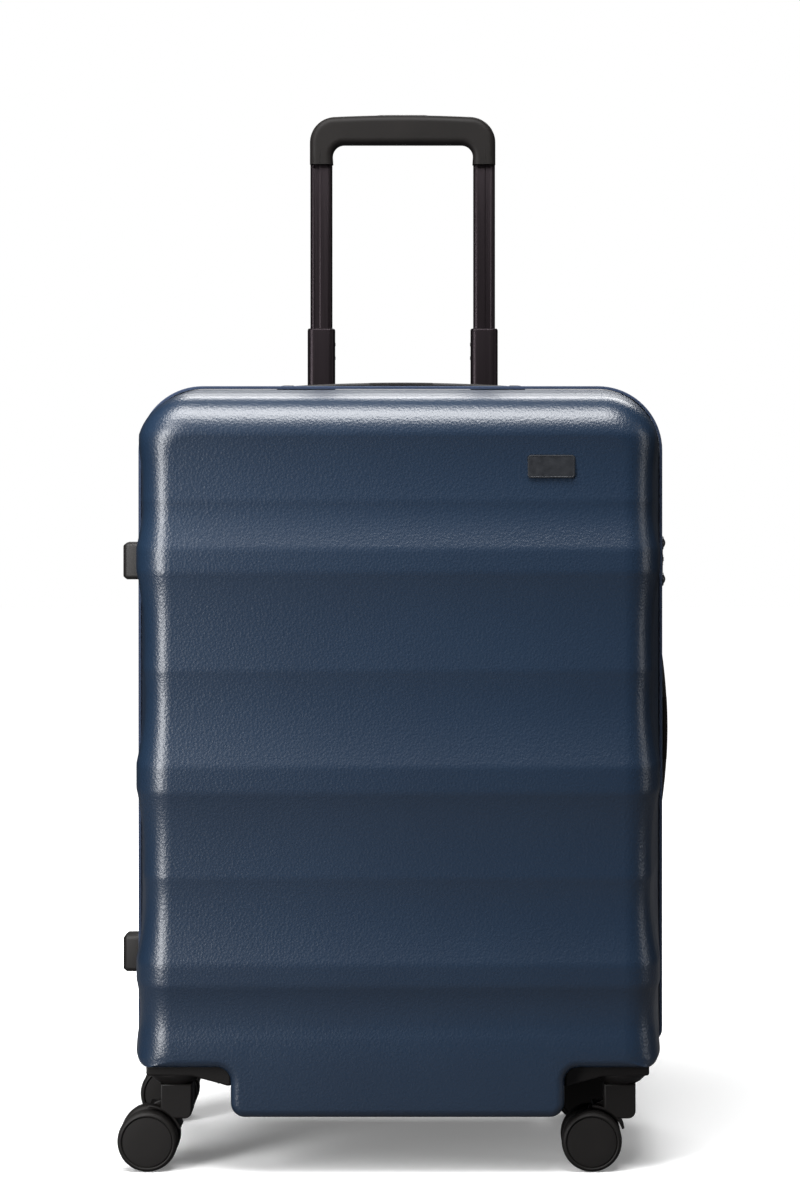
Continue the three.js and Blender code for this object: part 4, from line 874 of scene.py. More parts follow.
def build_lock(case):
    """The combination lock: a nylon case with a bevelled face and slots, three ridged dials, a ribbed
    release button and a key barrel."""
    low, high = corners("lock_case")
    size, centre = high - low, (low + high) / 2
    body = piece("lock_housing", block((size[1], size[2], size[0]), centre, "yz", 0.003, 0.001), "nylon",
                 "rear_case",
                 "lock_case")
    button_low, button_high = corners("lock_button")
    gap = np.array((0.0022, FIT, FIT))
    tools = [cuboid(button_low - gap, button_high + gap + (0.01, 0, 0))]
    for i in (1, 2, 3):
        dial_low, dial_high = corners(f"lock_dial_{i}")
        dial, half = (dial_low + dial_high) / 2, (dial_high[1] - dial_low[1]) / 2
        radius = (dial_high[2] - dial_low[2]) / 2
        rim = radius + FIT
        tools.append(turning([(0, -half - FIT), (rim, -half - FIT), (rim, half + FIT), (0, half + FIT)], dial,
                             "y", 40))
        profile = [(0, -half), (0.55 * radius, -half), (radius - 0.0006, -half), (radius, 0.0006 - half),
                   (radius, half - 0.0006), (radius - 0.0006, half), (0.55 * radius, half), (0, half)]
        piece(f"lock_dial_{i}_wheel", turning(profile, dial, "y", 120, 20, 0.0005), "zinc", f"lock_dial_{i}",
              f"lock_dial_{i}")
    carved(body, *tools)
    size, centre = button_high - button_low, (button_low + button_high) / 2
    parts = [block((size[1], size[2], size[0] - 0.0006), centre - (0.0003, 0, 0), "yz", 0.002, 0.0007)]
    for z in np.linspace(-0.0042, 0.0042, 4):
        parts.append(block((size[1] - 0.003, 0.0011, 0.0012),
                           (button_high[0] - 0.0006, centre[1], centre[2] + z), "yz",
                           0.0005, 0.0004, 2))
    piece("lock_release", combined(*parts), "zinc", "lock_button", "lock_button")
    key = (high[0] - 0.0004, low[1] + 0.0046, (low[2] + high[2]) / 2)
    barrel = [(0, -0.003), (0.0032, -0.003), (0.0032, 0.0004), (0.0029, 0.0006), (0.0024, 0.0006),
              (0.0021, 0.0001),
              (0, 0.0001)]
    made = piece("lock_key_barrel", turning(barrel, key, "x", 32), "zinc", "rear_case")
    carved(made, cuboid((key[0] - 0.0015, key[1] - 0.0003, key[2] - 0.0014),
                        (key[0] + 0.002, key[1] + 0.0003, key[2] + 0.0014)))


def strap_half(start, end, rise, out, across, width, thick, overlap):
    """Half of a bowed strap. Its middle line is the parabola rise * (1 - s^2), s from 1 at the cap to 0 at
    the middle; its section is a rounded bar with a shallow dish along the outer face."""
    start, end, out = np.asarray(start, float), np.asarray(end, float), np.asarray(out, float)
    t = np.linspace(0, 1, 40)[:, None]
    far = end + (end - start) / np.linalg.norm(end - start) * overlap
    path = start + (far - start) * t + out * rise * (1 - (1 - t) ** 2)
    section = rounded(width, thick, thick * 0.42, 5)
    dish = np.where(section[:, 1] > 0,
                    -0.0004 * np.cos(np.clip(section[:, 0] / (width * 0.42), -1, 1) * math.pi / 2), 0)
    section = section + np.stack([0 * dish, dish], -1)
    up = np.cross(np.gradient(path, axis=0)[0], across)
    if up @ out < 0:
        section = section * (1, -1)
    return swept(path, across, section)


def build_carry_handle(name, body, out, along, case):
    """A carry handle: a strap in two halves that each bend between the case and the lifted middle, a
    grip pad over their joint, and a moulded cap over each end with a screw boss."""
    low, high = corners(name + "_handle_strap")
    out_axis, along_axis = "xyz".index(out), "xyz".index(along)
    out_vector, along_vector = np.eye(3)[out_axis], np.eye(3)[along_axis]
    size = high - low
    thick = case.sizes.strap_thickness
    rise = size[out_axis] - thick
    centre = (low + high) / 2
    base = centre.copy()
    base[out_axis] = low[out_axis] + thick / 2
    reach = size[along_axis] / 2
    for label, side in (("a", -1), ("b", 1)):
        start = base + along_vector * side * reach
        shape = strap_half(start, base, rise, out_vector, (0, 1, 0), size[1] * 0.94, thick, 0.0002)
        made = piece(f"{name}_strap_half_{label}", shape, "nylon", None,
                     name + "_handle_strap")
        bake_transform(made)
    s = np.linspace(-0.028, 0.028, 31)
    path = base + along_vector * s[:, None] + out_vector * (rise * (1 - (s / reach) ** 2))[:, None]
    section = rounded(size[1], thick + 0.0006, thick * 0.45, 6)
    made = piece(name + "_grip_pad", swept(path - out_vector * 0.0002, (0, 1, 0), section), "grip", body)
    for label in ("a", "b"):
        low, high = corners(f"{name}_handle_cap_{label}")
        side = np.sign(((low + high) / 2 - base)[along_axis])
        tall, long = high[out_axis] - low[out_axis], high[along_axis] - low[along_axis]
        t = np.linspace(0, 1, 14)
        crown = np.stack([long * (0.42 + 0.58 * np.sin(t * math.pi / 2)),
                          tall * np.cos(t * math.pi / 2) ** 0.8], -1)
        outline = np.concatenate([[[0, 0]], crown[::-1], [[0, tall]]])
        outline[:, 0] = outline[:, 0] * side
        inner = low[along_axis] if side > 0 else high[along_axis]
        outline = outline + (inner, low[out_axis])
        outline = outline if side > 0 else outline[::-1]
        cap = slab(outline, along + out, low[1], high[1], 0.0012)
        screw_at = centre.copy()
        screw_at[along_axis] = inner + side * long * 0.35
        screw_at[out_axis] = high[out_axis] - 0.0002
        screw = turning([(0, -0.001), (0.0028, -0.001), (0.0028, 0.0001), (0.0024, 0.0003), (0, 0.0003)],
                        screw_at, out, 24)
        piece(f"{name}_end_cap_{label}", combined(cap, screw), "nylon", "rear_case",
              f"{name}_handle_cap_{label}")


def build_feet(case):
    """The side feet that the case lies on: blocks with a wide chamfer round the outer face and two shallow
    grooves."""
    for name in ("upper_side_foot", "lower_side_foot"):
        low, high = corners(name)
        size = high - low
        outline = rounded(size[1], size[2], 0.0042, 8)
        steps = [(0, high[0]), (0, low[0] + 0.0034), (0.0003, low[0] + 0.0027), (0.0021, low[0] + 0.0005),
                 (0.0028, low[0]), (0.0036, low[0])]
        rings = [placed(drawn_in(outline, inset) + middle(name)[[1, 2]], "yz", x) for inset, x in steps]
        made = piece(name + "_block", lofted(rings), "nylon", "rear_case", name, sharp=25)
        centre = middle(name)
        grooves = [slab(rounded(size[1] - 0.010, 0.0014, 0.0006), "yz", low[0] - 0.002, low[0] + 0.0006,
                        0.0001, 1,
                        (centre[1], centre[2] + z)) for z in (-0.0055, 0.0055)]
        carved(made, *grooves)


def build_badge(case):
    """The badge, left blank: a satin plate with a bevelled edge, sunk in its pocket."""
    low, high = corners("badge")
    size = high - low
    outline = rounded(size[0], size[2], 0.0027, 8)
    steps = [(0.0, high[1]), (0, low[1] + 0.0007), (0.0004, low[1] + 0.0001), (0.0012, low[1]),
             (0.0014, low[1] + 0.0002),
             (0.002, low[1] + 0.0002)]
    rings = [placed(drawn_in(outline, inset) + middle("badge")[[0, 2]], "xz", y) for inset, y in steps]
    piece("badge_plate", lofted(rings), "badge", "front_case", "badge", sharp=30)


def tube_outline(size, radius, flute, side):
    """A rounded tube section, with a shallow channel in its front and back faces towards the outer side.
    The channel's depth is a plateau with soft flanks."""
    w, d = size[0] / 2 - radius, size[1] / 2 - radius
    x = np.linspace(-w, w, 45)
    centre, half = side * (size[0] / 2 - 0.0064), 0.0026
    depth = flute / (1 + np.exp((np.abs(x - centre) - half) / 0.00013))
    front, back = np.stack([x, -size[1] / 2 + depth], -1), np.stack([x[::-1], size[1] / 2 - depth[::-1]], -1)
    return np.concatenate([front, arc(w, -d, radius, 270, 360, 6)[1:], arc(w, d, radius, 0, 90, 6)[:-1], back,
                           arc(-w, d, radius, 90, 180, 6)[1:], arc(-w, -d, radius, 180, 270, 6)[:-1]])


def build_tubes(case):
    """The telescopic tubes, hollow, with a chamfered mouth; a nylon collar and two catch pins at each
    joint."""
    wall = case.sizes.tube_wall
    for side, sign in (("left", -1), ("right", 1)):
        for stage, body, flute in (("middle", "middle_stage", 0.0), ("upper", "upper_stage", 0.0004)):
            node = f"{side}_{stage}_tube"
            low, high = corners(node)
            size, centre = (high - low)[:2], middle(node)[:2]
            radius = min(size) * 0.3
            outer = tube_outline(size, radius, flute, sign)
            bore = tube_outline(size - 2 * wall, radius - wall * 0.8, 0, sign)
            chamfer = 0.0011 if stage == "middle" else 0.0003
            rings = [(bore, low[2]), (outer, low[2]), (outer, high[2] - chamfer * 1.6),
                     (drawn_in(outer, chamfer * 0.4), high[2] - chamfer * 0.5),
                     (drawn_in(outer, chamfer), high[2]),
                     (bore, high[2])]
            shape = lofted([placed(ring + centre, "xy", z) for ring, z in rings], closed=True)
            piece(f"{side}_{stage}_extrusion", shape, "tube", body, node, sharp=30)
        low, high = corners(side + "_middle_tube")
        centre = middle(side + "_middle_tube")
        inside = tube_outline(corners(side + "_upper_tube")[1][:2] - corners(side + "_upper_tube")[0][:2]
                              + 0.0003, 0.004, 0,
                              sign)
        size = (high - low)[:2] - 2 * wall - 0.0001
        collar = [(inside, -0.004), (tube_outline(size, 0.004, 0, sign), -0.004),
                  (tube_outline(size, 0.004, 0, sign), -0.0008),
                  (tube_outline(size - 0.0008, 0.004, 0, sign), -0.0003), (inside, -0.0003)]
        rings = [placed(ring + centre[:2], "xy", high[2] + z) for ring, z in collar]
        piece(side + "_joint_collar", lofted(rings, closed=True), "joint", "middle_stage",
              sharp=30)
        inner_face = low[0] if sign > 0 else high[0]
        pins = [turning([(0, -0.0008), (0.0017, -0.0008), (0.0017, 0.0002), (0.0014, 0.0004), (0.001, 0.0001),
                         (0, 0.0001)]
                        if sign < 0 else [(0, 0.0008), (0.0017, 0.0008), (0.0017, -0.0002), (0.0014, -0.0004),
                                          (0.001, -0.0001), (0, -0.0001)],
                                          (inner_face, centre[1], high[2] - drop), "x", 24)
                for drop in (0.0145, 0.027)]
        piece(side + "_catch_pins", combined(*pins), "nylon", "middle_stage")


def build_grip(case):
    """The pull grip: an arch whose outline has round shoulders, a crowned bar and legs that flare a little
    over the tubes, with full quarter-round edges; two fine moulded ridges run down each leg, meeting at the
    shoulder."""
    low, high = corners("trolley_grip")
    tube_high = corners("left_upper_tube")[1]
    foot = tube_high[2] + FIT
    s = case.sizes
    outer, inner = high[0], high[0] - s.grip_leg
    bar_top, bar_under = high[2], high[2] - s.grip_bar
    crown, big, small = 0.0015, 0.0235, 0.0105
    x = np.linspace(big - outer, outer - big, 61)[1:-1]
    top = np.stack([x, bar_top - crown * (x / (outer - big)) ** 2], -1)[::-1]
    right_top, left_top = (outer - big, bar_top - crown), (big - outer, bar_top - crown)
    shoulder_right = arc(right_top[0], right_top[1] - big, big, 0, 90, 16)
    shoulder_left = arc(left_top[0], left_top[1] - big, big, 90, 180, 16)
    stub = foot - 0.010
    flare = np.array([(-inner + 0.001, stub)])
    under_left = arc(-inner + small, bar_under - small, small, 180, 90, 10)
    under_right = arc(inner - small, bar_under - small, small, 90, 0, 10)
    outline = np.concatenate([
        [[outer, stub]], shoulder_right, top, shoulder_left, [[-outer, stub]], flare, under_left, under_right,
        flare * (-1, 1)])
    keep = np.linalg.norm(outline - np.roll(outline, 1, 0), axis=1) > 1e-6
    depth = (low[1], high[1])
    arch = slab(outline[keep], "xz", *depth, 0.0058, 7)
    ridges = []
    for sign in (-1, 1):
        for offset, bend in ((0.0038, 0.0075), (0.009, 0.0025)):
            t = np.linspace(0, 1, 24)
            rise = t * 0.0235
            x = sign * (outer - offset - bend * t**2.2)
            for face, out in ((depth[0], -1), (depth[1], 1)):
                sink = 0.0002 + 0.0011 * t**3 + max(0, 0.0046 - offset) * 0.55
                path = np.stack([x, np.full(24, face) - out * sink, foot + 0.0012 + rise], -1)
                ridges.append(swept(path, (1, 0, 0), rounded(0.0009, 0.0009, 0.0004, 3)))
    made = piece("pull_grip", arch, "grip", "upper_stage", "trolley_grip")
    piece("pull_grip_ridges", combined(*ridges), "grip", "upper_stage")
    button_low, button_high = corners("grip_button")
    size, centre = button_high - button_low, (button_low + button_high) / 2
    gap = 2 * FIT
    carved(made, slab(rounded(size[0] + gap, size[1] + gap, (size[1] + gap) / 2 - 0.0001, 8), "xy",
                      button_low[2] - 0.0036, button_high[2] + 0.01, 0.0001, 1, centre[:2]),
           cuboid((-0.2, low[1] - 0.02, stub - 0.02), (0.2, high[1] + 0.02, foot)))
    ribs = [slab(rounded(size[0], size[1], size[1] / 2 - FIT, 8), "xy", button_low[2],
                 button_high[2] - 0.0003, 0.0011, 4,
                 centre[:2])]
    for x in np.linspace(-0.012, 0.012, 7):
        ribs.append(block((0.0012, 0.0068, 0.0010), (x, centre[1], button_high[2] - 0.0006), "xy", 0.0005,
                          0.0003, 2))
    piece("grip_release", combined(*ribs), "nylon", "grip_button", "grip_button")


def build_bezel(case):
    """The bezel that the tubes slide through: a plate with a soft rim and two throats, over collars in the
    case."""
    low, high = corners("trolley_bezel")
    size, centre = high - low, (low + high) / 2
    plate_low = high[2] - 0.003
    plate = slab(rounded(size[0], size[1], 0.008, 8), "xy", plate_low, high[2], 0.0013, 4, centre[:2])
    collars, throats = [], []
    for side in ("left", "right"):
        tube_low, tube_high = corners(side + "_outer_tube")
        at = middle(side + "_outer_tube")[:2]
        outside = (tube_high - tube_low)[:2] + 0.001
        collars.append(slab(rounded(*outside, 0.002), "xy", low[2], plate_low + 0.001, 0.0004, 2, at))
        middle_size = (corners(side + "_middle_tube")[1] - corners(side + "_middle_tube")[0])[:2] + 0.0008
        throats.append(slab(rounded(*middle_size, min(middle_size) * 0.3, 6), "xy", low[2] - 0.01,
                            high[2] + 0.01, 0.0001, 1,
                            at))
    rims = [slab(rounded(*((corners(side + "_middle_tube")[1] - corners(side + "_middle_tube")[0])[:2]
                           + 0.006), 0.008, 6),
                 "xy", plate_low, high[2] + 0.0001, 0.0009, 3, middle(side + "_middle_tube")[:2])
            for side in ("left", "right")]
    made = piece("pull_handle_bezel", plate, "nylon", "rear_case", "trolley_bezel")
    carved(made, *throats)
    for side, rim, collar, throat in zip(("left", "right"), rims, collars, throats):
        carved(piece(side + "_throat_rim", rim, "nylon", "rear_case"), throat)
        carved(piece(side + "_throat_collar", collar, "nylon", "rear_case"), throat)


def tray_layers(outline_size, corner, low_y, floor_y, fillet, thickness, wrinkle):
    """Two layers of an open cloth tray: walls down from the mouth, a round into the floor, and the floor
    itself as rings shrinking to the middle. Both layers shift inwards by wrinkle * (1 + a sum of slow
    sines) / 2."""
    depth = floor_y - low_y
    sign = np.sign(depth)
    turn = np.linspace(0, math.pi / 2, 9)
    insets = np.concatenate([np.zeros(14), fillet * (1 - np.cos(turn))])
    ys = np.concatenate([np.linspace(low_y, floor_y - sign * fillet, 15)[:-1],
                         floor_y - sign * fillet * (1 - np.sin(turn))])
    layers = []
    for inner in (0.0, thickness):
        rings = []
        for inset, y in zip(insets, ys):
            margin = 2 * (inset + inner * (y != ys[-1]))
            w, h = outline_size[0] - margin, outline_size[1] - margin
            ring = rounded(w, h, max(corner - inset - inner, 0.004), 10)
            rings.append(placed(subdivided(ring, 0.012, outline_size, corner), "xz", y))
        rim = rings[-1]
        for shrink in np.linspace(1, 0.02, 26)[1:]:
            rings.append(rim * (shrink, 1, shrink))
        points = np.array(rings)
        x, y, z = np.moveaxis(points, -1, 0)
        folds = np.sin(x * 31 + 2.1 * np.sin(z * 9)) * np.sin(z * 23 + 1.7 * np.sin(x * 12)) + 0.6 * np.sin(
            x * 71 + z * 53) * np.sin(y * 60 + 1)
        calm = np.clip(np.abs(y - low_y) / 0.02, 0, 1)
        shift = wrinkle * calm * np.clip((1 + folds) / 2, 0, 1.2)
        points[..., 1] -= sign * (shift + inner * np.clip(np.abs(y - low_y) / abs(depth), 0, 1) ** 4)
        scale = 1 - shift / max(outline_size)
        points[..., 0] *= scale
        points[..., 2] *= scale
        layers.append(points)
    return layers


def subdivided(ring, pitch, size, corner):
    """A closed ring with extra points along its straight sides, the same number whatever its size."""
    parts = []
    after = np.roll(ring, -1, 0)
    runs = [round((size[1] - 2 * corner) / pitch), round((size[0] - 2 * corner) / pitch)]
    longest = np.argsort(np.linalg.norm(after - ring, axis=1))[-4:]
    for i, (a, b) in enumerate(zip(ring, after)):
        steps = 1
        if i in longest:
            steps = runs[0] if abs(b[1] - a[1]) > abs(b[0] - a[0]) else runs[1]
        parts.append(a + (b - a) * np.linspace(0, 1, steps, endpoint=False)[:, None])
    return np.concatenate(parts)


def cloth_tray(layers, shift):
    """The two layers joined at the mouth and each closed in the middle of the floor."""
    outer, inner = layers
    rings = np.concatenate([outer[::-1], inner]) + np.asarray(shift)
    count, around = rings.shape[:2]
    faces = ring_quads(count, around)
    faces.append(list(range(around))[::-1])
    faces.append(list(range((count - 1) * around, count * around)))
    return turned_out(rings.reshape(-1, 3), faces)


def build_linings(case):
    """The sewn linings: cloth trays with soft folds, and a piped edge round each mouth."""
    for name, body in (("rear", "rear_case"), ("front", "front_case")):
        low, high = corners(name + "_lining")
        size, centre = high - low, (low + high) / 2
        near, far = sorted((low[1], high[1]), key=abs)
        fold = case.sizes.lining_fold
        layers = tray_layers((size[0], size[2]), 0.040, near, far, 0.026, 0.0012, fold)
        shape = cloth_tray(layers, (centre[0], 0, centre[2]))
        made = piece(name + "_lining_cloth", shape, "lining", body, name + "_lining")
        cord = arc(0, 0, 0.0014, 0, 360, 10)[:-1]
        loop = [placed(rounded(size[0] - 0.0012 + 2 * g, size[2] - 0.0012 + 2 * g, 0.040 + g, 12)
                       + centre[[0, 2]], "xz", near + y)
                for g, y in cord]
        piece(name + "_lining_piping", lofted(loop, closed=True), "tape", body)


def build_divider(case):
    """The divider panel: cloth over a thin board, its face rising in a shallow quilted pillow, with a piped
    edge and the closed zip of its pocket."""
    low, high = corners("divider_panel")
    size, centre = high - low, (low + high) / 2
    outline = subdivided(rounded(size[0], size[2], 0.038, 8), 0.010, (size[0], size[2]), 0.038)
    rings = []
    for side in (-1, 1):
        rows = []
        for shrink in np.linspace(1, 0.02, 34):
            points = placed(outline * shrink, "xz", 0.0)
            x, z = points[:, 0], points[:, 2]
            quilt = np.abs(np.sin((x + z) * 26)) ** 0.5 * np.abs(np.sin((x - z) * 26)) ** 0.5
            points[:, 1] = side * (0.0004 + 0.0006 * quilt * min(1, (1 - shrink) * 8))
            rows.append(points + centre)
        rings += rows[::-1] if side < 0 else rows
    shape = lofted(rings)
    made = piece("divider_cloth", shape, "lining", "front_case", "divider_panel")
    cord = arc(0, 0, 0.0013, 0, 360, 10)[:-1]
    loop = [placed(rounded(size[0] - 0.0010 + 2 * g, size[2] - 0.0010 + 2 * g, 0.038 + g, 12)
                   + centre[[0, 2]], "xz",
                   centre[1] + y) for g, y in cord]
    piece("divider_piping", lofted(loop, closed=True), "tape", "front_case")
    z = centre[2] + size[2] * 0.3
    span_x = size[0] * 0.36
    band = block((2 * span_x, 0.024, 0.0012), (centre[0], high[1] + 0.0004, z), "xz", 0.004, 0.0004, 2)
    made = piece("divider_pocket_tape", band, "tape", "front_case")
    teeth = [block((0.0011, 0.0042, 0.0012), (x, high[1] + 0.0012, z), "xz", 0.0004, 0.0003, 1)
             for x in np.arange(-span_x + 0.006, span_x - 0.006, 0.0026)]
    pull = block((0.0085, 0.0062, 0.0026), (span_x - 0.010, high[1] + 0.002, z), "xz", 0.002, 0.0008, 3)
    tab = block((0.018, 0.0046, 0.0011), (span_x - 0.022, high[1] + 0.0036, z), "xz", 0.0016, 0.0004, 2)
    piece("divider_pocket_zip", combined(*teeth, pull, tab), "zinc", "front_case")


def build_packing_straps(case):
    """The packing straps: webbing that sags a little, and the side-release buckle."""
    for name in ("left_packing_strap", "right_packing_strap"):
        low, high = corners(name)
        u, v = np.meshgrid(np.linspace(0, 1, 90), np.linspace(-1, 1, 17), indexing="ij")
        x = low[0] + (high[0] - low[0]) * u
        z = (low[2] + high[2]) / 2 + v * (high[2] - low[2]) / 2
        sag = 0.0016 * np.sin(math.pi * u) + 0.0004 * np.sin(u * 19) * np.cos(v * 1.5)
        edge = 0.00035 * np.exp(-((np.abs(v) - 0.86) / 0.03) ** 2)
        front = np.stack([x, low[1] + sag + edge, z], -1)
        back = np.stack([x, low[1] + sag + 0.0013 - edge, z], -1)
        made = piece(name + "_webbing", doubled(front, back), "tape", "rear_case", name)
    low, high = corners("packing_strap_buckle")
    size, centre = high - low, (low + high) / 2
    body = block((size[0] * 0.62, size[2], size[1]), centre - (size[0] * 0.19, 0, 0), "xz", 0.006, 0.002)
    tongue = block((size[0] * 0.46, size[2] * 0.78, size[1] * 0.62), centre + (size[0] * 0.27, 0, 0), "xz",
                   0.004, 0.0018)
    ribs = [block((0.0014, size[2] * 0.5, 0.0012),
                  (centre[0] - 0.013 + 0.004 * i, low[1] - 0.0001 + 0.0003, centre[2]), "xz",
                  0.0006, 0.0004, 2) for i in range(4)]
    prongs = [block((size[0] * 0.5, 0.0055, size[1] * 0.5),
                    (centre[0], centre[1], centre[2] + s * size[2] * 0.46), "xz",
                    0.0022, 0.001, 3) for s in (-1, 1)]
    piece("strap_buckle", combined(body, tongue, *ribs, *prongs), "nylon", "rear_case",
          "packing_strap_buckle")


def build_caster_housings(case):
    """The caster housings: a plate under the bay roof that thickens towards the skirt, a swivel boss with a
    coned foot, and two screw heads."""
    for node in CASTERS:
        low, high = corners(node + "_caster_housing")
        axis = middle(node + "_caster_fork")[:2].copy()
        to_skirt = -1 if "right" in node else 1
        axis[0] = (low[0] if to_skirt > 0 else high[0]) + to_skirt * 0.024
        axis[1] = (low[1] + high[1]) / 2
        reach = high[0] - low[0] - 0.024
        top, bottom, bend = high[2], low[2], case.sizes.bay_radius - FIT
        corner = arc(reach - bend, top - bend, bend, 0, 90, 8)
        outline = np.concatenate([
            [(-0.0240, top), (-0.0240, top - 0.006)], arc(-0.021, top - 0.006, 0.003, 180, 270, 4)[1:],
            [(0.016, top - 0.0095), (0.022, top - 0.0112)],
            [(reach - 0.007, bottom + 0.0012), (reach - 0.003, bottom), (reach - 0.0006, bottom + 0.0003)],
            corner])
        outline[:, 0] = np.clip(outline[:, 0], -0.0235, reach) * to_skirt
        outline = outline if to_skirt > 0 else outline[::-1]
        plate = slab(outline + (axis[0], 0), "xz", low[1], high[1], 0.0018, 4)
        boss = turning([(0, top - 0.001), (0.0232, top - 0.001), (0.0238, top - 0.002),
                        (0.0238, bottom + 0.0082),
                        (0.0232, bottom + 0.0066), (0.0172, bottom + 0.0010), (0.0155, bottom), (0, bottom)],
                       (axis[0], axis[1], 0), "z", 64)
        screws = [turning([(0, bottom + 0.012), (0.0032, bottom + 0.012), (0.0032, bottom + 0.0016),
                           (0.0026, bottom + 0.0009),
                           (0, bottom + 0.0009)], (axis[0] + to_skirt * (reach - 0.010), axis[1] + y, 0), "z",
                           20)
                  for y in (-0.015, 0.015)]
        body = "front_case" if node.startswith("front") else "rear_case"
        piece(node + "_housing", combined(plate, boss, *screws), "nylon", body,
              node + "_caster_housing")


def build_caster_forks(case):
    """The caster forks: a stem with a rounded trailing corner and an arc cleared for the wheels, a fender lip
    that follows that arc, a web down to the axle, a collar and a swivel pin."""
    for node in CASTERS:
        low, high = corners(node + "_caster_fork")
        wheel_low, wheel_high = corners(node + "_outer_wheel")
        axle = np.array([(wheel_low[0] + wheel_high[0]) / 2, 0, (wheel_low[2] + wheel_high[2]) / 2])
        radius = (wheel_high[2] - wheel_low[2]) / 2
        pivot = np.array([axle[0] + 0.024, (low[1] + high[1]) / 2])
        half, top, foot = 0.0135, corners(node + "_caster_housing")[0][2] - FIT, 0.044
        clear = radius + 0.0018
        start = math.degrees(math.acos((0.024 - half) / clear))
        finish = math.degrees(math.asin((foot - axle[2]) / clear))
        bite = arc(-0.024, axle[2], clear, start, finish, 18)
        outline = np.concatenate([[(-half, top)], bite,
                                  arc(half - 0.0065, foot + 0.0065, 0.0065, 270, 360, 8),
                                  [(half, top)]])
        stem = slab(outline + (pivot[0], 0), "xz", pivot[1] - half, pivot[1] + half, 0.0016, 4)
        lip = swept(np.stack([pivot[0] - 0.024 + (clear + 0.0012)
                              * np.cos(np.radians(np.linspace(88, 20, 30))),
                              np.full(30, pivot[1]),
                              axle[2] + (clear + 0.0012) * np.sin(np.radians(np.linspace(88, 20, 30)))],
                             -1), (0, 1, 0), rounded(2 * half - 0.0006, 0.0024, 0.0010, 4))
        web_outline = np.concatenate([
            arc(-0.024, axle[2], 0.0105, 130, 300, 14),
            [(0.002, 0.0432), (0.0065, 0.050), (0.004, 0.060), (-0.012, 0.0595)],
            [(-0.026, 0.0525)]])
        web = slab(web_outline + (pivot[0], 0), "xz", pivot[1] - 0.004, pivot[1] + 0.004, 0.0009, 3)
        collar = turning([(0, top + 0.0001), (0.0118, top + 0.0001), (0.0125, top - 0.0006),
                          (0.0125, top - 0.004), (0, top - 0.004)],
                         (pivot[0], pivot[1], 0), "z", 48)
        pin = turning([(0, top + 0.012), (0.0046, top + 0.012), (0.0046, top - 0.002), (0, top - 0.002)],
                      (pivot[0], pivot[1], 0), "z", 24)
        piece(node + "_fork", combined(stem, lip, web, collar, pin), "nylon", node + "_fork",
              node + "_caster_fork")


def build_wheels(case):
    """The twin wheels: a satin hub disc with a fine groove round it, a rim ring and a crowned tread. The
    caps are left blank."""
    for node in CASTERS:
        for label in ("inner", "outer"):
            name = f"{node}_{label}_wheel"
            low, high = corners(name)
            centre = (low + high) / 2
            radius, half = (high[2] - low[2]) / 2, (high[1] - low[1]) / 2
            out = 1 if centre[1] > middle(node + "_caster_fork")[1] else -1
            profile = np.array([
                (0, half - 0.0007), (0.010, half - 0.0007), (0.0195, half - 0.0008), (0.0209, half - 0.0010),
                (0.0212, half - 0.0018), (0.0217, half - 0.0018), (0.0220, half - 0.0003), (0.0226, half),
                (0.0233, half - 0.0002),
                (0.0244, half - 0.0010), (0.0252, half - 0.0023), (radius - 0.0001, half - 0.0042),
                (radius, half - 0.0065),
                (radius, 0.0065 - half), (radius - 0.0001, 0.0042 - half), (0.0252, 0.0023 - half),
                (0.0240, 0.0008 - half),
                (0.0225, -half), (0.0190, -half), (0.0184, 0.0014 - half), (0.0080, 0.0014 - half),
                (0.0075, -half),
                (0.0036, -half), (0.0034, 0), (0, 0)])
            profile[:, 1] *= out
            piece(name + "_tyre", turning(profile, centre, "y", 96), "wheel", name, name)


def finish_carried_over(case):
    """Finishes for the CAD nodes that are shown as they are, hidden deep in the case or plain pins."""
    kept = {"left_outer_tube": ("tube", "tube_metal"), "right_outer_tube": ("tube", "tube_metal"),
            "trolley_base_bracket": ("nylon", "black_plastic")}
    kept.update({node + "_caster_axle": ("steel", "axle_steel") for node in CASTERS})
    for node, (material, slot) in kept.items():
        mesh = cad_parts[node].data
        mesh.materials.clear()
        mesh.materials.append(MATERIALS[material])


# ---------- Studio ----------

def piece_of_floor(radius):
    """A flat disc of paper just under the wheels: rings of points round the middle."""
    rings, around = np.linspace(0, radius, 9)[1:], 64
    angles = np.linspace(0, 2 * math.pi, around, endpoint=False)
    flat = np.stack([rings[:, None] * np.cos(angles), rings[:, None] * np.sin(angles), np.zeros((8, around))],
                    -1)
    k = np.arange(around)
    faces = np.array(ring_quads(8, around))[:, ::-1].tolist()
    faces += np.stack([np.full(around, 8 * around), k, (k + 1) % around], -1).tolist()
    mesh = bpy.data.meshes.new("paper_floor")
    mesh.from_pydata(np.concatenate([flat.reshape(-1, 3), np.zeros((1, 3))]).tolist(), [], faces)
    mesh.materials.append(MATERIALS["paper"])
    floor = bpy.data.objects.new("paper_floor", mesh)
    bpy.context.collection.objects.link(floor)
    return floor


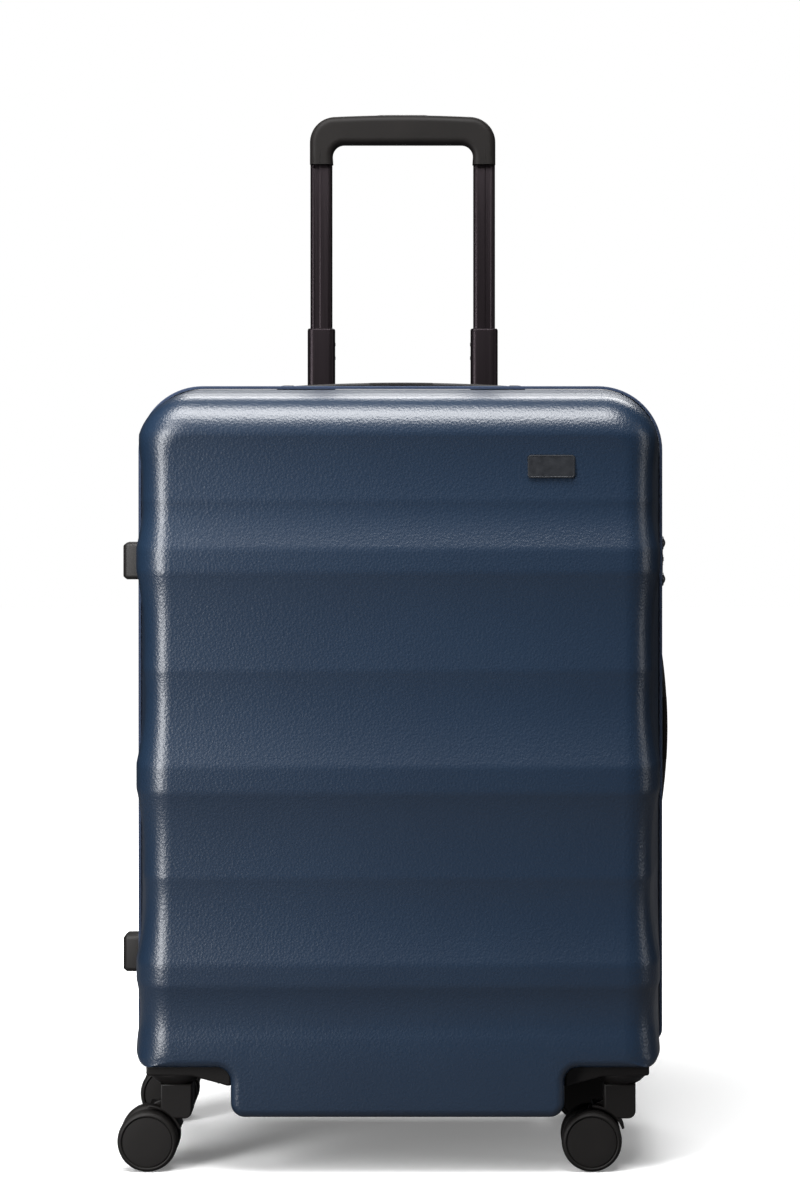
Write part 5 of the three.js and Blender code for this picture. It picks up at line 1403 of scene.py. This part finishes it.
def build_stage(case):
    """A pale paper floor, soft boxes, a world that is white to look at and dim to light by, and the
    camera."""
    studio = case.studio
    floor = piece_of_floor(studio.floor)
    for name, place, size, power, target in (
            ("top_softbox", (-0.2, -0.7, 1.95), (1.7, 0.9), studio.top_power, (0.05, 0, 0.5)),
            ("left_softbox", (-0.95, -1.1, 0.7), (0.4, 1.3), studio.left_power, (-0.1, 0, 0.45)),
            ("right_softbox", (1.7, -0.5, 0.8), (0.3, 1.5), studio.right_power, (0, 0, 0.4)),
            ("back_softbox", (0.2, 1.6, 1.9), (1.6, 0.8), studio.back_power, (0, 0, 0.4))):
        light = bpy.data.lights.new(name, "AREA")
        light.shape, light.size, light.size_y, light.energy = "RECTANGLE", size[0], size[1], power
        lamp = bpy.data.objects.new(name, light)
        bpy.context.collection.objects.link(lamp)
        lamp.location = place
        aim = Vector(target) - Vector(place)
        lamp.rotation_euler = aim.to_track_quat("-Z", "Y").to_euler()
    world = bpy.data.worlds.new("studio")
    bpy.context.scene.world = world
    world.use_nodes = True
    tree = world.node_tree
    seen, lit = tree.nodes["Background"], tree.nodes.new("ShaderNodeBackground")
    seen.inputs["Color"].default_value = lit.inputs["Color"].default_value = linear(case.colours.world)
    lit.inputs["Strength"].default_value = studio.world_strength
    path = tree.nodes.new("ShaderNodeLightPath")
    mix = add_node(tree, "ShaderNodeMixShader", i0=path.outputs["Is Camera Ray"],
                   i1=lit.outputs["Background"],
                   i2=seen.outputs["Background"])
    tree.links.new(mix.outputs["Shader"], tree.nodes["World Output"].inputs["Surface"])
    bpy.context.scene.view_settings.view_transform = "Standard"
    view = case.camera
    camera = bpy.data.cameras.new("camera")
    camera.lens, camera.sensor_width = view.lens, 36
    camera.shift_x, camera.shift_y = view.shift_x, view.shift_y
    stand = bpy.data.objects.new("camera", camera)
    bpy.context.collection.objects.link(stand)
    stand.location = view.place
    stand.rotation_euler = (math.pi / 2 - view.pitch, 0, 0)
    bpy.context.scene.camera = stand


# ---------- Add-on ----------

def length(name, description, default):
    """A length property."""
    return FloatProperty(name=name, description=description, default=default, unit="LENGTH", precision=5,
                         min=0.0)


def colour(name, description, default):
    """An sRGB colour written as hex text."""
    return StringProperty(name=name, description=description, default=default)


class TrolleyCaseSizes(PropertyGroup):
    """Sizes of the case that its CAD boxes don't give."""
    bay_roof: length("Bay roof", "Height of the underside of the rims", 0.092)
    draft: length("Draft", "How far the walls lean in from rim to face", 0.0065)
    top_corner: length("Top corner", "Radius of the upper corners seen from the front", 0.054)
    bottom_corner: length("Bottom corner", "Radius of the lower corners seen from the front", 0.010)
    side_fillet: length("Side fillet", "Round from the side walls to the face", 0.030)
    top_fillet: length("Top fillet", "Round from the top to the face", 0.033)
    bottom_fillet: length("Bottom fillet", "Round from the underside to the face", 0.008)
    bay_radius: length("Bay radius", "Corners of the skirt seen from the front", 0.012)
    skirt_inset: length("Skirt inset", "From the rim's side to the side of the skirt", 0.0875)
    skirt_start: length("Skirt start", "Depth at which the skirt begins to drop", 0.024)
    skirt_full: length("Skirt full", "Depth at which the skirt has dropped", 0.050)
    wall: length("Wall", "Thickness of the formed sheet", 0.0025)
    face_rib: length("Face rib", "Depth of the ribs in the face", 0.0065)
    side_rib: length("Side rib", "Depth of the ribs in the side walls", 0.006)
    rib_fade: length("Rib fade", "Depth over which the side ribs grow", 0.100)
    crest_slope: FloatProperty(name="Crest slope",
                               description="Slope of the skin beside a crest band, in rib depths per "
                               "millimetre", default=0.032)
    ridge_slope: FloatProperty(name="Ridge slope",
                               description="Slope below a ridge line, in rib depths per millimetre",
                               default=0.022)
    tube_wall: length("Tube wall", "Wall of the telescopic tubes", 0.0012)
    strap_thickness: length("Strap thickness", "Thickness of the carry straps", 0.004)
    grip_leg: length("Grip leg", "Width of a leg of the pull grip", 0.0206)
    grip_bar: length("Grip bar", "Height of the bar of the pull grip", 0.027)
    lining_fold: length("Lining fold", "How far the lining's folds stand in", 0.0022)


class TrolleyCaseColours(PropertyGroup):
    """Colours, as sRGB hex."""
    shell_dark: colour("Shell dark", "Navy sheet, darker patches", "#132234")
    shell_light: colour("Shell light", "Navy sheet, lighter patches", "#17283b")
    black_plastic: colour("Nylon", "Moulded nylon", "#110f0e")
    black_plastic_light: colour("Nylon light", "Moulded nylon where the melt flowed paler", "#171413")
    grip: colour("Grip", "Soft-touch grip", "#0d0c0b")
    tube: colour("Tube", "Anodised aluminium", "#1d181b")
    tube_light: colour("Tube light", "Anodised aluminium along its draw lines", "#282225")
    tape: colour("Tape", "Zip tape and webbing", "#17243a")
    tape_light: colour("Tape light", "Zip tape where fibres catch light", "#22324c")
    lining: colour("Lining", "Lining cloth", "#3a3f48")
    lining_light: colour("Lining light", "Lining cloth where fibres catch light", "#4a505a")
    wheel: colour("Wheel", "Polyurethane tread and cap", "#131110")
    wheel_scuffed: colour("Wheel scuffed", "Polyurethane where it is scuffed", "#1a1817")
    gunmetal: colour("Gunmetal", "Plated zinc", "#3a3c40")
    gunmetal_light: colour("Gunmetal light", "Plated zinc, brighter", "#54565b")
    steel: colour("Steel", "Ground steel", "#a9a9a8")
    steel_light: colour("Steel light", "Ground steel, brighter", "#c4c4c2")
    badge: colour("Badge", "Satin badge plate", "#1e2024")
    paper: colour("Paper", "Studio paper", "#f1f1f1")
    paper_bounce: colour("Paper bounce", "What the paper throws back on the case", "#5c5c5e")
    paper_light: colour("Paper light", "Studio paper, brighter", "#f6f6f6")
    world: colour("World", "Light all round", "#ffffff")


class TrolleyCaseStudio(PropertyGroup):
    """Lights and floor."""
    floor: length("Floor", "Radius of the paper floor", 8.0)
    top_power: FloatProperty(name="Top power", description="Soft box above the case", default=68.0,
                             unit="POWER")
    left_power: FloatProperty(name="Left power", description="Strip light on the left", default=25.0,
                              unit="POWER")
    right_power: FloatProperty(name="Right power", description="Strip light on the right", default=4.0,
                               unit="POWER")
    back_power: FloatProperty(name="Back power", description="Soft box behind the case", default=25.0,
                              unit="POWER")
    world_strength: FloatProperty(name="World strength", description="Strength of the light all round",
                                  default=0.025)


class TrolleyCaseCamera(PropertyGroup):
    """Where the camera stands, and its lens."""
    place: FloatVectorProperty(name="Place", description="Where the camera stands",
                               default=(0.058, -2.763, 0.637),
                               size=3, subtype="XYZ", unit="LENGTH")
    pitch: FloatProperty(name="Pitch", description="How far it looks down", default=math.radians(0.18),
                         unit="ROTATION")
    lens: FloatProperty(name="Lens", description="Focal length in millimetres on a 36 mm sensor",
                        default=93.8)
    shift_x: FloatProperty(name="Shift across", description="Sideways shift, as a share of the long side",
                           default=-0.0552)
    shift_y: FloatProperty(name="Shift up", description="Upward shift, as a share of the long side",
                           default=-0.1387)


class TrolleyCaseSettings(PropertyGroup):
    """Everything that can be set on the case."""
    sizes: PointerProperty(type=TrolleyCaseSizes, name="Sizes", description="Sizes of the case")
    colours: PointerProperty(type=TrolleyCaseColours, name="Colours", description="Colours of the case")
    studio: PointerProperty(type=TrolleyCaseStudio, name="Studio", description="Lights and floor")
    camera: PointerProperty(type=TrolleyCaseCamera, name="Camera",
                            description="The camera in front of the case")

class TROLLEY_CASE_OT_materials(Operator):
    """Makes every finish of the case"""
    bl_idname = "trolley_case.materials"
    bl_label = "Materials"

    def execute(self, context):
        case = context.scene.trolley_case
        make_materials(case.colours)
        return {"FINISHED"}


class TROLLEY_CASE_OT_shells(Operator):
    """Builds the front and rear half shells"""
    bl_idname = "trolley_case.shells"
    bl_label = "Half shells"

    def execute(self, context):
        case = context.scene.trolley_case
        build_shells(case)
        return {"FINISHED"}


class TROLLEY_CASE_OT_zip_bands(Operator):
    """Builds the zip tapes, their piping and their teeth"""
    bl_idname = "trolley_case.zip_bands"
    bl_label = "Zip bands"

    def execute(self, context):
        case = context.scene.trolley_case
        build_zip_bands(case)
        return {"FINISHED"}


class TROLLEY_CASE_OT_hinge_cloth(Operator):
    """Builds the tape that joins the halves"""
    bl_idname = "trolley_case.hinge_cloth"
    bl_label = "Hinge tape"

    def execute(self, context):
        case = context.scene.trolley_case
        build_hinge_cloth(case)
        return {"FINISHED"}


class TROLLEY_CASE_OT_zip_sliders(Operator):
    """Builds the two zip sliders"""
    bl_idname = "trolley_case.zip_sliders"
    bl_label = "Zip sliders"

    def execute(self, context):
        case = context.scene.trolley_case
        build_zip_sliders(case)
        return {"FINISHED"}


class TROLLEY_CASE_OT_lock(Operator):
    """Builds the combination lock"""
    bl_idname = "trolley_case.lock"
    bl_label = "Lock"

    def execute(self, context):
        case = context.scene.trolley_case
        build_lock(case)
        return {"FINISHED"}


class TROLLEY_CASE_OT_top_handle(Operator):
    """Builds the top carry handle"""
    bl_idname = "trolley_case.top_handle"
    bl_label = "Top handle"

    def execute(self, context):
        case = context.scene.trolley_case
        build_carry_handle("top", "top_handle", "z", "x", case)
        return {"FINISHED"}


class TROLLEY_CASE_OT_side_handle(Operator):
    """Builds the side carry handle"""
    bl_idname = "trolley_case.side_handle"
    bl_label = "Side handle"

    def execute(self, context):
        case = context.scene.trolley_case
        build_carry_handle("side", "side_handle", "x", "z", case)
        return {"FINISHED"}


class TROLLEY_CASE_OT_feet(Operator):
    """Builds the side feet"""
    bl_idname = "trolley_case.feet"
    bl_label = "Side feet"

    def execute(self, context):
        case = context.scene.trolley_case
        build_feet(case)
        return {"FINISHED"}


class TROLLEY_CASE_OT_badge(Operator):
    """Builds the blank badge"""
    bl_idname = "trolley_case.badge"
    bl_label = "Badge"

    def execute(self, context):
        case = context.scene.trolley_case
        build_badge(case)
        return {"FINISHED"}


class TROLLEY_CASE_OT_tubes(Operator):
    """Builds the telescopic tubes and their joints"""
    bl_idname = "trolley_case.tubes"
    bl_label = "Tubes"

    def execute(self, context):
        case = context.scene.trolley_case
        build_tubes(case)
        return {"FINISHED"}


class TROLLEY_CASE_OT_grip(Operator):
    """Builds the pull grip and its release button"""
    bl_idname = "trolley_case.grip"
    bl_label = "Grip"

    def execute(self, context):
        case = context.scene.trolley_case
        build_grip(case)
        return {"FINISHED"}


class TROLLEY_CASE_OT_bezel(Operator):
    """Builds the bezel round the tubes"""
    bl_idname = "trolley_case.bezel"
    bl_label = "Bezel"

    def execute(self, context):
        case = context.scene.trolley_case
        build_bezel(case)
        return {"FINISHED"}


class TROLLEY_CASE_OT_linings(Operator):
    """Builds the sewn linings"""
    bl_idname = "trolley_case.linings"
    bl_label = "Linings"

    def execute(self, context):
        case = context.scene.trolley_case
        build_linings(case)
        return {"FINISHED"}


class TROLLEY_CASE_OT_divider(Operator):
    """Builds the divider panel"""
    bl_idname = "trolley_case.divider"
    bl_label = "Divider"

    def execute(self, context):
        case = context.scene.trolley_case
        build_divider(case)
        return {"FINISHED"}


class TROLLEY_CASE_OT_packing_straps(Operator):
    """Builds the packing straps and their buckle"""
    bl_idname = "trolley_case.packing_straps"
    bl_label = "Packing straps"

    def execute(self, context):
        case = context.scene.trolley_case
        build_packing_straps(case)
        return {"FINISHED"}


class TROLLEY_CASE_OT_housings(Operator):
    """Builds the caster housings"""
    bl_idname = "trolley_case.housings"
    bl_label = "Caster housings"

    def execute(self, context):
        case = context.scene.trolley_case
        build_caster_housings(case)
        return {"FINISHED"}


class TROLLEY_CASE_OT_forks(Operator):
    """Builds the caster forks"""
    bl_idname = "trolley_case.forks"
    bl_label = "Caster forks"

    def execute(self, context):
        case = context.scene.trolley_case
        build_caster_forks(case)
        return {"FINISHED"}


class TROLLEY_CASE_OT_wheels(Operator):
    """Builds the twin wheels"""
    bl_idname = "trolley_case.wheels"
    bl_label = "Wheels"

    def execute(self, context):
        case = context.scene.trolley_case
        build_wheels(case)
        return {"FINISHED"}


class TROLLEY_CASE_OT_carried_over(Operator):
    """Finishes the CAD nodes that are shown as they are"""
    bl_idname = "trolley_case.carried_over"
    bl_label = "Carried-over nodes"

    def execute(self, context):
        case = context.scene.trolley_case
        finish_carried_over(case)
        return {"FINISHED"}


class TROLLEY_CASE_OT_stage(Operator):
    """Builds the floor, lights and camera"""
    bl_idname = "trolley_case.stage"
    bl_label = "Studio"

    def execute(self, context):
        case = context.scene.trolley_case
        build_stage(case)
        return {"FINISHED"}


OPERATORS = (
    TROLLEY_CASE_OT_materials,
    TROLLEY_CASE_OT_shells,
    TROLLEY_CASE_OT_zip_bands,
    TROLLEY_CASE_OT_hinge_cloth,
    TROLLEY_CASE_OT_zip_sliders,
    TROLLEY_CASE_OT_lock,
    TROLLEY_CASE_OT_top_handle,
    TROLLEY_CASE_OT_side_handle,
    TROLLEY_CASE_OT_feet,
    TROLLEY_CASE_OT_badge,
    TROLLEY_CASE_OT_tubes,
    TROLLEY_CASE_OT_grip,
    TROLLEY_CASE_OT_bezel,
    TROLLEY_CASE_OT_linings,
    TROLLEY_CASE_OT_divider,
    TROLLEY_CASE_OT_packing_straps,
    TROLLEY_CASE_OT_housings,
    TROLLEY_CASE_OT_forks,
    TROLLEY_CASE_OT_wheels,
    TROLLEY_CASE_OT_carried_over,
    TROLLEY_CASE_OT_stage,
)


class TROLLEY_CASE_PT_sidebar(Panel):
    """Lists every step of the case in its order."""
    bl_idname = "TROLLEY_CASE_PT_sidebar"
    bl_label = "Trolley Case"
    bl_space_type = "VIEW_3D"
    bl_region_type = "UI"
    bl_category = "Trolley Case"

    def draw(self, context):
        case = context.scene.trolley_case
        for group in (case.sizes, case.colours, case.studio, case.camera):
            box = self.layout.box()
            for name in group.__annotations__:
                box.prop(group, name)
        for operator in OPERATORS:
            self.layout.operator(operator.bl_idname)


GROUPS = (TrolleyCaseSizes, TrolleyCaseColours, TrolleyCaseStudio, TrolleyCaseCamera, TrolleyCaseSettings)


def register():
    for made in GROUPS + OPERATORS + (TROLLEY_CASE_PT_sidebar,):
        bpy.utils.register_class(made)
    bpy.types.Scene.trolley_case = PointerProperty(type=TrolleyCaseSettings)


def unregister():
    del bpy.types.Scene.trolley_case
    for made in reversed(GROUPS + OPERATORS + (TROLLEY_CASE_PT_sidebar,)):
        bpy.utils.unregister_class(made)


def main():
    """Registers the add-on and runs its steps in order."""
    register()
    for operator in OPERATORS:
        group, name = operator.bl_idname.split(".")
        if getattr(getattr(bpy.ops, group), name)() != {"FINISHED"}:
            raise RuntimeError(f"{operator.bl_label} did not finish")


if __name__ == "__main__":
    main()
